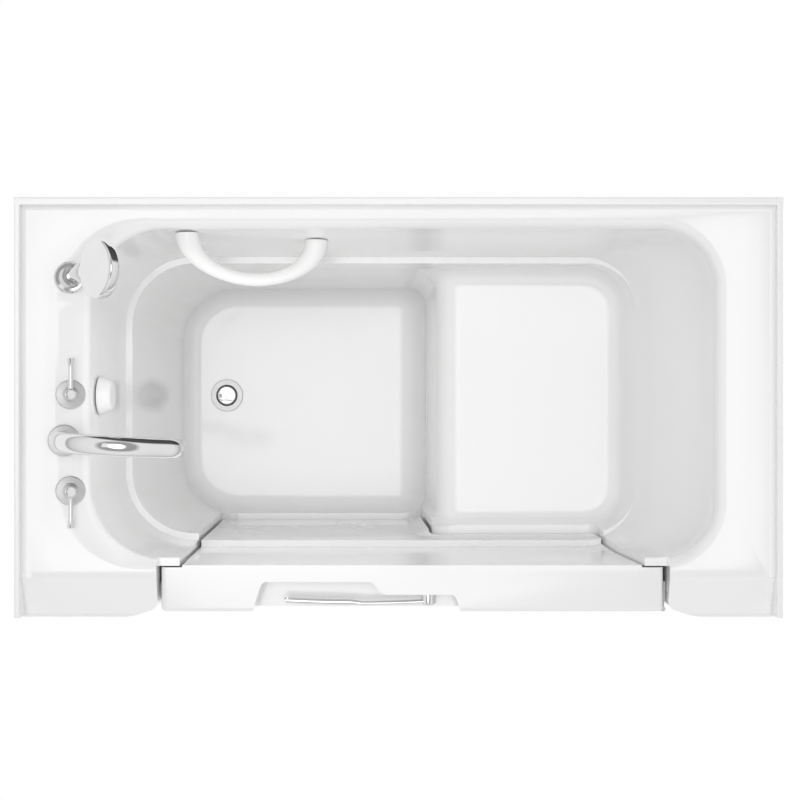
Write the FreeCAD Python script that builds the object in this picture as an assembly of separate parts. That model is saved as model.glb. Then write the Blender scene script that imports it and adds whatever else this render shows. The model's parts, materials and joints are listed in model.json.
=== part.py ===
import FreeCAD, Part
import os
from math import asin, atan, cos, sin, tan, pi, radians, hypot, sqrt

# Walk-in bathtub with a side-hung front door, in millimetres.
# X runs along the tub, Y from the door towards the back wall, Z up from the room floor.

V = FreeCAD.Vector

# Overall
LENGTH = 1524.0
DEPTH = 840.0
DECK_Z = 965.0
WALL = 7.0

# Basin: deck widths round the rim, and the levels inside
DECK_LEFT = 143.5
DECK_RIGHT = 127.0
DECK_FRONT = 120.0
DECK_BACK = 59.4
FLOOR_Z = 110.0
SEAT_Z = 540.0
LEDGE_Z = 620.0
LEDGE_WIDTH = 14.0
UPPER_DRAFT_END = 0.052
UPPER_DRAFT_BACK = 0.085
UPPER_DRAFT_FRONT = 0.030
LOWER_DRAFT_END = 0.103
LOWER_DRAFT_BACK = 0.053
LOWER_DRAFT_FRONT = 0.023
RIM_CORNER_LEFT = 150.0
RIM_CORNER_RIGHT = 115.0
SOLE_RADIUS = 48.0
RISER_SETBACK = 848.0
RISER_LEAN = 0.055
RISER_FOOT_RADIUS = 72.0
SEAT_NOSE_RADIUS = 55.0
# How far the backrest lies inside the rim at fractions of the height from seat to rim
BACKREST = ((0.0, 137.0), (0.19, 114.0), (0.36, 88.0), (0.57, 51.0), (0.73, 24.0), (0.89, 8.0))

# Tap strip: the left deck falls gently towards the basin
STRIP_DROP = 11.0
STRIP_SLOPE = 12.0
RIM_ROLL = 18.0
RIM_SOFT = 25.0
ROLL_STEPS = 5

# Tile flange on three sides, and the turned-down deck lip
FLANGE_RISE = 20.0
FLANGE_BACK = 16.0
FLANGE_SIDE = 12.0
FLANGE_ROUND = 4.0
FLANGE_COVE = 10.0
FLANGE_END = 6.0
LIP_DROP = 30.0

# Front pillars beside the door
PILLAR_LEFT = 279.0
PILLAR_RIGHT = 221.0
PILLAR_TURN = 20.0
PILLAR_TURN_RUN = 60.0
PILLAR_BEND = 120.0
PILLAR_EDGE = 12.0
JAMB_ROUND = 22.0
SHOULDER_DROP = 35.0
SHOULDER_RUN = 85.0
SHOULDER_BEND = 18.0
SHOULDER_CREASE = 60.0
SKIRT_Z = 12.0

# Door opening and door
OPEN_LAP = 38.0
OPEN_LEAN = 8.0
SILL_RISE = 40.0
SEAT_SILL_RISE = 15.0
STEP_SETBACK = 10.0
OPEN_CORNER = 45.0
LAND_SETBACK = 104.0
DOOR_INSET = 11.7
DOOR_GAP = 5.5
DOOR_GAP_LEFT = 4.0
DOOR_GAP_RIGHT = 7.0
DOOR_RECESS = 15.0
DOOR_SKIN = 5.0
DOOR_FLANGE = 8.0
DOOR_LAP = 43.0
DOOR_CORNER = 26.0
STEP_ROUND = 8.0
DOOR_EDGE = 8.0
SEAL_GAP = 3.0
SEAL_WIDTH = 12.0
SEAL_DEPTH = 7.4
SEAL_MARGIN = 9.0
SOFT_CLEAR = 0.3

# Handle pocket in the door's face, deep behind the grip and shallow behind the hub
POCKET_LEFT = 487.0
POCKET_STEP = 709.0
POCKET_RIGHT = 876.0
POCKET_RUN = 20.0
POCKET_LEAN = 0.33
POCKET_HEIGHT = 90.0
POCKET_DEEP = 59.8
POCKET_SHALLOW = 34.0
POCKET_SKIN = 4.0
POCKET_ROUND = 14.0
POCKET_SOLE = 8.0

# Latch: lever, spindle, pinion and rack bar with three bolts
LEVER_HUB_X = 823.0
LEVER_DROP = 43.0
LEVER_REACH = 292.0
LEVER_HEIGHT = 26.0
LEVER_THICK = 9.0
LEVER_BOW = 4.0
LEVER_HUB_D = 32.0
LEVER_PROUD = 8.0
SPINDLE_D = 12.0
RUN_CLEAR = 0.05
GEAR_MODULE = 1.5
GEAR_TEETH = 20
GEAR_WIDTH = 12.0
GEAR_BACKLASH = 0.35
GEAR_BEHIND = 4.0
GEAR_ROOT = 1.25
BAR_THICK = 6.0
BAR_HEIGHT = 11.0
BOLT_D = 14.0
BOLT_CLEAR = 0.4
BOLT_SPACING = 280.0
BOLT_HIDE = 2.0
BOLT_ROOM = 20.0
KEEP_CLEAR = 2.0

# Continuous hinge
HINGE_LOW = 36.0
HINGE_PIN_D = 5.0
HINGE_BARREL_D = 10.0
HINGE_LEAF = 2.0
HINGE_LEAF_WIDTH = 56.0
HINGE_KNUCKLES = 5
HINGE_GAP = 0.6
HINGE_IN = 3.0
HINGE_DEEP = 1.3

# Taps, spout and hand shower on the strip, placed from the left end and the tub's middle
TAP_X = 107.5
HOT_Y = 29.0
COLD_Y = -163.0
SPOUT_X = 95.0
SPOUT_Y = -62.7
SHOWER_X = 108.5
SHOWER_BACK = 158.0
ROSE_D = 59.0
ROSE_THICK = 6.0
ROSE_SEAT = 0.6
HUB_D = 27.0
HUB_HEIGHT = 44.0
LEVER_LENGTH = 72.0
LEVER_ROD_D = 9.0
LEVER_BELOW = 12.0
SPOUT_WIDTH = 39.0
SPOUT_THICK = 24.0
SPOUT_WALL = 3.0
SPOUT_RISE = 42.0
SPOUT_ARC = 130.0
SPOUT_TURN = 120.0
SPOUT_NOSE = 80.0
SPOUT_YAW = -3.0
SPOUT_ROSE_D = 64.0
SHOWER_LEAN = 17.0
SHOWER_SOCKET_D = 40.0
SHOWER_SOCKET_H = 46.0
SHOWER_FOOT_D = 24.0
SHOWER_NECK = 62.0
SHOWER_BEND = 162.5
# Share of the way from the neck to the head, half width and half depth of the hand shower's flare
SHOWER_FLARE = ((0.0, 11.6, 11.5), (0.25, 15.0, 11.4), (0.5, 25.0, 11.0), (0.7, 40.0, 10.5),
                (0.85, 52.0, 10.0))
SHOWER_HEAD_D = 115.0
SHOWER_HEAD_THICK = 20.0
SHOWER_HEAD_LEAN = 42.0
SHOWER_HEAD_REACH = 80.0
SHOWER_HEAD_BACK = 13.6
VALVE_D = 34.0
VALVE_LENGTH = 40.0
SUPPLY_D = 15.0
SUPPLY_Z = 760.0

# Overflow and drain
OVERFLOW_Y = 27.0
OVERFLOW_Z = 868.0
KNOB_D = 81.0
KNOB_FRONT_D = 54.0
KNOB_THICK = 27.0
KNOB_STANDOFF = 2.5
KNOB_SKIN = 5.0
OVERFLOW_NECK_D = 42.0
NECK_PROUD = 1.0
DRAIN_X = 327.5
DRAIN_Y = 29.6
DRAIN_FLANGE_D = 82.0
DRAIN_BORE_D = 44.0
STOPPER_D = 46.0
WASTE_PIPE_D = 40.0
WASTE_WALL = 2.5
WASTE_UNDER = 12.0
PIPE_CLEAR = 2.0
TEE_REACH = 30.0
OUTLET_DROP = 6.0
DRAIN_LIP = 2.5
DRAIN_TAIL = 16.0
GUIDE_HEIGHT = 8.0
STOPPER_STEM = 40.0

# Grab bar
BAR_LEFT_X = 333.0
BAR_SPAN = 258.0
BAR_HIGH_Z = 900.0
BAR_FALL = 80.0
BAR_BOW = 88.0
BAR_END_D = 49.0
BAR_MID_D = 28.0
BAR_STEPS = 10
STUD_D = 10.0

# Frame and feet
TUBE = 30.0
TUBE_WALL = 2.0
BOARD = 12.0
FOOT_D = 50.0
FOOT_STUD_D = 12.0
FOOT_PAD = 10.0
FRAME_END = 27.0
FRAME_TOE = 35.0
FRAME_CLEAR = 1.0
RISER_CLEAR = 6.0
POST_CLEAR = 9.0
LONG_Y = (-205.0, 200.0)
SEAT_LEGS = (60.0, 329.0)
NUT_SIZE = 19.0
NUT_THICK = 8.0
SCREW_HEAD_D = 9.0
SCREW_D = 4.0

# Small fittings shared by several pieces
HOLE_CLEAR = 0.4
RUN_GAP = 0.5
SHANK_D = 22.0
VALVE_NECK_D = 20.0
STEM_D = 9.0
TEE_D = 34.0
BUSH_D = 20.0
LEVER_CLEAR = 1.5
LEVER_RETURN = 5.0
BOLT_BAR = 20.0
PANEL_THICK = 6.0
PANEL_LIP = 18.0
PANEL_GAP = 2.0
PANEL_SCREW_IN = 60.0
STIFF_WIDTH = 20.0
STIFF_DEPTH = 14.0
STIFF_INSET = 7.0
SPOUT_ROSE = 12.0
SHOWER_SEAT = 14.0
HOSE_WAY_D = 12.0
OVERFLOW_BODY_D = 50.0
OVERFLOW_DEEP = 34.0
DRAIN_NECK = 3.0
DRAIN_CUP_D = 58.0
WASTE_TAIL = 20.0
STUD_IN = 22.0

# Places worked out from the sizes above
END_X = LENGTH / 2
SIDE_Y = DEPTH / 2
RIM_LEFT = -END_X + DECK_LEFT
RIM_RIGHT = END_X - DECK_RIGHT
RIM_FRONT = -SIDE_Y + DECK_FRONT
RIM_BACK = SIDE_Y - DECK_BACK
STRIP_Z = DECK_Z - STRIP_DROP
ROLL_TURN = 90 - STRIP_SLOPE
ROLL_Z = STRIP_Z - RIM_ROLL * sin(radians(ROLL_TURN))
ROLL_OUT = RIM_ROLL * (1 - cos(radians(ROLL_TURN)))
SOFT_Z = DECK_Z - RIM_SOFT * sin(radians(ROLL_TURN))
RISER_X = -END_X + RISER_SETBACK
JAMB_LEFT = -END_X + PILLAR_LEFT
JAMB_RIGHT = END_X - PILLAR_RIGHT
DOOR_TOP_Z = DECK_Z - SHOULDER_DROP
DOOR_LEFT = JAMB_LEFT + DOOR_GAP_LEFT
DOOR_RIGHT = JAMB_RIGHT - DOOR_GAP_RIGHT
LAND_Y = -SIDE_Y + LAND_SETBACK
DOOR_FRONT_Y = -SIDE_Y + DOOR_INSET
DOOR_BACK_Y = LAND_Y - SEAL_GAP
FLANGE_Y = DOOR_BACK_Y - DOOR_FLANGE
RAIL_Z = FLOOR_Z - WALL - BOARD - TUBE


def box(x0, x1, y0, y1, z0, z1):
    """Solid block between two opposite corners."""
    return Part.makeBox(x1 - x0, y1 - y0, z1 - z0, V(x0, y0, z0))


def rod(start, axis, diameter, length):
    """Solid round bar from a point along an axis."""
    return Part.makeCylinder(diameter / 2, length, start, axis)


def pipe(start, axis, outer, inner, length):
    """Round tube from a point along an axis."""
    return rod(start, axis, outer, length).cut(rod(start, axis, inner, length))


def fuse(shapes):
    """One solid from touching or crossing solids, with flush faces joined."""
    return shapes[0].multiFuse(list(shapes[1:])).removeSplitter()


def plan(z):
    """Places (u, v) of an outline at height z, seen from above."""
    return lambda u, v: V(u, v, z)


def elevation(y):
    """Places (u, v) of an outline in the upright plane at y, seen from the front."""
    return lambda u, v: V(u, y, v)


def section(x):
    """Places (u, v) of an outline in the upright plane at x, seen from the end."""
    return lambda u, v: V(x, u, v)


def outline(corners, place):
    """Closed wire through (u, v, radius) corners, each rounded by its radius."""
    starts, middles, ends = [], [], []
    count = len(corners)
    for i, (u, v, radius) in enumerate(corners):
        before, after = corners[i - 1], corners[(i + 1) % count]
        a = (before[0] - u, before[1] - v)
        b = (after[0] - u, after[1] - v)
        a = (a[0] / hypot(*a), a[1] / hypot(*a))
        b = (b[0] / hypot(*b), b[1] / hypot(*b))
        dot = a[0] * b[0] + a[1] * b[1]
        run = radius * sqrt((1 + dot) / (1 - dot))
        mid = (a[0] + b[0], a[1] + b[1])
        reach = radius * (1 / sqrt((1 - dot) / 2) - 1) / (hypot(*mid) or 1)
        starts.append(place(u + a[0] * run, v + a[1] * run))
        middles.append(place(u + mid[0] * reach, v + mid[1] * reach))
        ends.append(place(u + b[0] * run, v + b[1] * run))
    edges = []
    for i in range(count):
        if corners[i][2]:
            edges.append(Part.Arc(starts[i], middles[i], ends[i]).toShape())
        following = starts[(i + 1) % count]
        if (following - ends[i]).Length > 1e-6:
            edges.append(Part.LineSegment(ends[i], following).toShape())
    return Part.Wire(edges)


def prism(corners, place, way):
    """Outline filled and pushed along a vector."""
    return Part.Face(outline(corners, place)).extrude(way)


def turned(profile, origin, axis):
    """Solid of revolution: profile of (radius, height) corners about an axis."""
    points = [V(r, 0, h) for r, h in profile]
    face = Part.Face(Part.makePolygon(points + points[:1]))
    solid = face.revolve(V(0, 0, 0), V(0, 0, 1), 360)
    solid.Placement = FreeCAD.Placement(origin, FreeCAD.Rotation(V(0, 0, 1), axis))
    return solid


def hexagon(start, axis, size, thick, bore):
    """Hexagon nut: size across flats, with a plain bore."""
    reach = size / sqrt(3)
    points = [V(reach * cos(k * pi / 3), reach * sin(k * pi / 3), 0) for k in range(7)]
    nut = Part.Face(Part.makePolygon(points)).extrude(V(0, 0, thick))
    nut = nut.cut(rod(V(0, 0, 0), V(0, 0, 1), bore, thick))
    nut.Placement = FreeCAD.Placement(start, FreeCAD.Rotation(V(0, 0, 1), axis))
    return nut


def rounded_plan(z, left, right, front, back, corner_left, corner_right):
    """Rectangle with rounded corners at height z."""
    return outline([(right, front, corner_right), (right, back, corner_right),
                    (left, back, corner_left), (left, front, corner_left)], plan(z))


def lower_wall(z, grow):
    """Left, front and back of the basin under the ledge, grown outwards."""
    below = LEDGE_Z - z
    ledge_left, ledge_front, ledge_back = upper_wall(LEDGE_Z, 0)
    return (ledge_left + LEDGE_WIDTH + below * LOWER_DRAFT_END - grow,
            ledge_front + LEDGE_WIDTH + below * LOWER_DRAFT_FRONT - grow,
            ledge_back - LEDGE_WIDTH - below * LOWER_DRAFT_BACK + grow)


def upper_wall(z, grow):
    """Left, front and back of the basin over the ledge, grown outwards."""
    below = ROLL_Z - z
    return (RIM_LEFT + below * UPPER_DRAFT_END - grow,
            RIM_FRONT + below * UPPER_DRAFT_FRONT - grow,
            RIM_BACK - below * UPPER_DRAFT_BACK + grow)


def backrest_x(z):
    """Right end of the basin at a height, along the curved backrest."""
    share = (z - SEAT_Z) / (ROLL_Z - SEAT_Z)
    for (a, inset_a), (b, inset_b) in zip(BACKREST, BACKREST[1:] + ((1.0, 0.0),)):
        if share <= b:
            return RIM_RIGHT - inset_a - (inset_b - inset_a) * (share - a) / (b - a)
    return RIM_RIGHT


def riser_x(z, grow):
    """Front of the seat, leaning forward as it rises."""
    return RISER_X - (SEAT_Z - z) * RISER_LEAN + grow


def lower_basin(grow):
    """Footwell, seat step and seat, up to the ledge, with round corners and a round sole."""
    floor, seat, top = FLOOR_Z - grow, SEAT_Z - grow, LEDGE_Z - grow
    left_low, left_top = lower_wall(floor, grow)[0], lower_wall(top, grow)[0]
    right_low, right_top = backrest_x(SEAT_Z) + grow, backrest_x(LEDGE_Z) + grow
    body = prism([(left_low, floor, 0), (riser_x(floor, grow), floor, RISER_FOOT_RADIUS + grow),
                  (riser_x(seat, grow), seat, SEAT_NOSE_RADIUS - grow), (right_low, seat, 0),
                  (right_top, top, 0), (left_top, top, 0)], elevation(-DEPTH), V(0, 2 * DEPTH, 0))
    low = floor - SOLE_RADIUS
    low_front, low_back = lower_wall(low, grow)[1:]
    top_front, top_back = lower_wall(top, grow)[1:]
    sides = [(low_front, low, 0), (low_back, low, 0), (top_back, top, 0), (top_front, top, 0)]
    body = body.common(prism(sides, section(-LENGTH), V(2 * LENGTH, 0, 0)))
    for x0, x1, radius in ((left_top, left_low, RIM_CORNER_LEFT), (right_low, right_top, RIM_CORNER_RIGHT)):
        upright = [e for e in body.Edges if e.BoundBox.XMin > x0 - 1 and e.BoundBox.XMax < x1 + 1
                   and e.BoundBox.ZLength > (top - seat) / 2 and e.BoundBox.YLength < DEPTH / 4]
        body = body.makeFillet(radius - LEDGE_WIDTH + grow, upright)
    # One straight floor edge is enough: the round runs on along the whole smooth loop
    sole = [e for e in body.Edges if e.BoundBox.ZMax < floor + 1e-3 and e.BoundBox.YLength < 1e-3]
    return body.makeFillet(SOLE_RADIUS + grow, sole[:1])


def rim_plan(z, out, grow):
    """Outline of the basin at a height near the rim: out on the tap side, softly rounded elsewhere."""
    left, front, back = upper_wall(ROLL_Z, grow)
    rise = max(0.0, z - SOFT_Z)
    soft = RIM_SOFT - sqrt(RIM_SOFT ** 2 - rise ** 2)
    return rounded_plan(z - grow, left - out, RIM_RIGHT + soft + grow, front - soft, back + soft,
                        RIM_CORNER_LEFT + soft + grow, RIM_CORNER_RIGHT + soft + grow)


def upper_basin(grow):
    """Walls and backrest from the ledge to the rim, then the roll and the tap strip."""
    walls = []
    ends = [LEDGE_Z] + [SEAT_Z + share * (ROLL_Z - SEAT_Z) for share, _ in BACKREST[2:]] + [ROLL_Z]
    for z in ends:
        left, front, back = upper_wall(z, grow)
        level = z - grow if z in (LEDGE_Z, ROLL_Z) else z
        walls.append(rounded_plan(level, left, backrest_x(z) + grow, front, back,
                                  RIM_CORNER_LEFT + grow, RIM_CORNER_RIGHT + grow))
    roll = []
    for k in range(ROLL_STEPS + 1):
        turn = radians(ROLL_TURN * k / ROLL_STEPS)
        roll.append(rim_plan(ROLL_Z + RIM_ROLL * sin(turn), RIM_ROLL * (1 - cos(turn)), grow))
    strip = []
    first = asin((STRIP_Z - SOFT_Z) / RIM_SOFT)
    for k in range(ROLL_STEPS + 1):
        z = SOFT_Z + RIM_SOFT * sin(first + (radians(ROLL_TURN) - first) * k / ROLL_STEPS)
        strip.append(rim_plan(z, ROLL_OUT + (z - STRIP_Z) / tan(radians(STRIP_SLOPE)), grow))
    return fuse([Part.makeLoft(walls, True, False), Part.makeLoft(roll, True, False),
                 Part.makeLoft(strip, True, False)])


def basin(grow):
    """The space inside the tub, with its walls moved outwards by grow."""
    return lower_basin(grow).fuse(upper_basin(grow))


def opening_corners(grow, top):
    """Outline of the L-shaped door opening, grown outwards, seen from the front."""
    left = DOOR_LEFT + OPEN_LAP - grow
    right_top = DOOR_RIGHT - OPEN_LAP + grow
    low = FLOOR_Z + SILL_RISE - grow
    high = SEAT_Z + SEAT_SILL_RISE - grow
    lean = tan(radians(OPEN_LEAN))
    return [(left, top, 0), (left, low, OPEN_CORNER + grow),
            (riser_x(low, 0) - STEP_SETBACK + grow, low, OPEN_CORNER + grow),
            (riser_x(high, 0) - STEP_SETBACK + grow, high, OPEN_CORNER - grow),
            (right_top - (DOOR_TOP_Z - high) * lean, high, OPEN_CORNER / 2 + grow),
            (right_top + (top - DOOR_TOP_Z) * lean, top, 0)]


def opening_block(grow, top, y0, y1):
    """The door opening as a block between two depths."""
    return prism(opening_corners(grow, top), elevation(y0), V(0, y1 - y0, 0))


def door_corners(inset):
    """Outline of the door's outer panel, seen from the front."""
    low = FLOOR_Z + SILL_RISE - DOOR_LAP
    high = SEAT_Z + SEAT_SILL_RISE - DOOR_LAP
    step = RISER_X - STEP_SETBACK + DOOR_LAP
    round_out = DOOR_CORNER - inset
    return [(DOOR_LEFT + inset, DOOR_TOP_Z - inset, 12 - inset / 2),
            (DOOR_LEFT + inset, low + inset, round_out),
            (step - inset, low + inset, round_out),
            (step - inset, high + inset, STEP_ROUND + DOOR_GAP_LEFT + inset),
            (DOOR_RIGHT - inset, high + inset, round_out),
            (DOOR_RIGHT - inset, DOOR_TOP_Z - inset, 12 - inset / 2)]


def door_block(inset, y0, y1):
    """The door's outline as a block between two depths."""
    return prism(door_corners(inset), elevation(y0), V(0, y1 - y0, 0))


def pillar(side, inset):
    """Solid form of a front pillar with its sloping shoulder; inset gives the hollow."""
    front = -SIDE_Y + inset
    turn_y = front + PILLAR_TURN
    if side < 0:
        end, jamb = -END_X + inset, JAMB_LEFT - inset
    else:
        end, jamb = END_X - inset, JAMB_RIGHT + inset
    bend = jamb + side * PILLAR_TURN_RUN
    rear = LAND_Y + WALL
    body = prism([(end, rear, 0), (end, front, PILLAR_EDGE), (bend, front, PILLAR_BEND),
                  (jamb, turn_y, JAMB_ROUND), (jamb, rear, 0)],
                 plan(SKIRT_Z - inset), V(0, 0, DECK_Z - SKIRT_Z + inset))
    crease = -SIDE_Y + SHOULDER_RUN
    slope = prism([(rear, SKIRT_Z - inset, 0), (front, SKIRT_Z - inset, 0),
                   (front, DECK_Z - SHOULDER_DROP - inset, SHOULDER_BEND),
                   (crease, DECK_Z - inset, SHOULDER_CREASE),
                   (rear, DECK_Z - inset, 0)], section(-LENGTH), V(2 * LENGTH, 0, 0))
    return body.common(slope)


def strip_point(x, y):
    """Point on the sloping tap strip, at a distance x from the tub's left end."""
    px = -END_X + x
    out = RIM_LEFT - px - ROLL_OUT
    return V(px, y, STRIP_Z + out * tan(radians(STRIP_SLOPE)))


STRIP_UP = V(sin(radians(STRIP_SLOPE)), 0, cos(radians(STRIP_SLOPE)))
SHOWER_UP = V(sin(radians(SHOWER_LEAN)), 0, cos(radians(SHOWER_LEAN)))
SHOWER_BASE = V(-END_X + SHOWER_X, SIDE_Y - SHOWER_BACK, DECK_Z)
DRAIN = V(-END_X + DRAIN_X, DRAIN_Y, FLOOR_Z)
WALL_OUT = V(1, 0, UPPER_DRAFT_END).normalize()
OVERFLOW = V(upper_wall(OVERFLOW_Z, 0)[0], OVERFLOW_Y, OVERFLOW_Z)
HINGE_X = JAMB_RIGHT - HINGE_IN
HINGE_Y = DOOR_FRONT_Y + HINGE_DEEP
BOLT_TRAVEL = GEAR_MODULE * GEAR_TEETH / 2 * pi / 2
HUB = V(-END_X + LEVER_HUB_X, DOOR_FRONT_Y, DOOR_TOP_Z - LEVER_DROP)
STEP_X = RISER_X - STEP_SETBACK + DOOR_LAP + DOOR_GAP_LEFT
SILL_Z = FLOOR_Z + SILL_RISE - DOOR_LAP - DOOR_GAP_LEFT
SEAT_SILL_Z = SEAT_Z + SEAT_SILL_RISE - DOOR_LAP - DOOR_GAP_LEFT
PANEL_SCREWS = [(STEP_X + WALL + PANEL_LIP / 2, z) for z in (SKIRT_Z + PANEL_SCREW_IN, SEAT_SILL_Z / 2)]
PANEL_ROW = (STEP_X + PANEL_SCREW_IN, (STEP_X + JAMB_RIGHT) / 2, JAMB_RIGHT - PANEL_SCREW_IN)
PANEL_SCREWS += [(x, SEAT_SILL_Z - WALL - PANEL_LIP / 2) for x in PANEL_ROW]
GEAR_Y = DOOR_FRONT_Y + POCKET_SHALLOW + POCKET_SKIN + GEAR_BEHIND
BAR_Y = (DOOR_FRONT_Y + POCKET_DEEP + POCKET_SKIN + FLANGE_Y - BAR_THICK) / 2
BOLT_Y = (DOOR_FRONT_Y + FLANGE_Y) / 2
BOLT_BAR_X = DOOR_LEFT + DOOR_SKIN + BOLT_D + BOLT_TRAVEL + BOLT_ROOM
RACK_ROOT_Z = HUB.z - GEAR_MODULE * (GEAR_TEETH / 2 + GEAR_ROOT)
BOLT_Z = [RACK_ROOT_Z - BAR_HEIGHT / 2 - k * BOLT_SPACING for k in range(3)]
DECK_NORMAL = WALL * (sin(radians(STRIP_SLOPE)) + cos(radians(STRIP_SLOPE)))
SHOWER_UNDER_Z = DECK_Z - WALL
STEM_TOP = HUB_HEIGHT - LEVER_BELOW
OVERFLOW_PIPE_X = OVERFLOW.x - WALL - WASTE_PIPE_D / 2 - PIPE_CLEAR
WASTE_Z = RAIL_Z - WASTE_PIPE_D / 2 - WASTE_UNDER
BAR_OUT = V(0, 1, -UPPER_DRAFT_BACK).normalize()
BAR_FEET = [V(-END_X + BAR_LEFT_X + share * BAR_SPAN, upper_wall(BAR_HIGH_Z - share * BAR_FALL, 0)[2],
              BAR_HIGH_Z - share * BAR_FALL) for share in (0, 1)]
BAR_WALL = WALL * BAR_OUT.y + 0.02
CROSS_X = (-END_X + FRAME_END, RISER_X - RISER_CLEAR, END_X - FRAME_END - TUBE)
FRAME_FRONT, FRAME_BACK = -SIDE_Y + FRAME_TOE, SIDE_Y - WALL - FRAME_CLEAR
POST_FRONT = LAND_Y - POST_CLEAR
SEAT_LEG_X = [RISER_X + x for x in SEAT_LEGS]


def flange_bead(width, place, way):
    """Tile flange along one side: a rounded bead with a coved foot on the deck."""
    top, foot = DECK_Z + FLANGE_RISE, width + 2 * FLANGE_COVE
    return prism([(0, DECK_Z - WALL, 0), (0, top, FLANGE_ROUND), (width, top, FLANGE_ROUND),
                  (width, DECK_Z, FLANGE_COVE), (foot, DECK_Z, 0), (foot, DECK_Z - WALL, 0)], place, way)


def flange_fin(side):
    """End of the tile flange over a pillar's shoulder, down to the front."""
    front, crease = -SIDE_Y + FLANGE_END, -SIDE_Y + SHOULDER_RUN
    top = DECK_Z + FLANGE_RISE
    near, far = sorted((side * END_X, side * (END_X - FLANGE_SIDE)))
    fin = box(near, far, front, crease, DECK_Z - SHOULDER_DROP - WALL, top)
    edges = [e for e in fin.Edges if e.BoundBox.ZMin > top - 1 and e.BoundBox.YMin < crease - 1]
    return fin.makeFillet(FLANGE_ROUND, edges)


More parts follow.
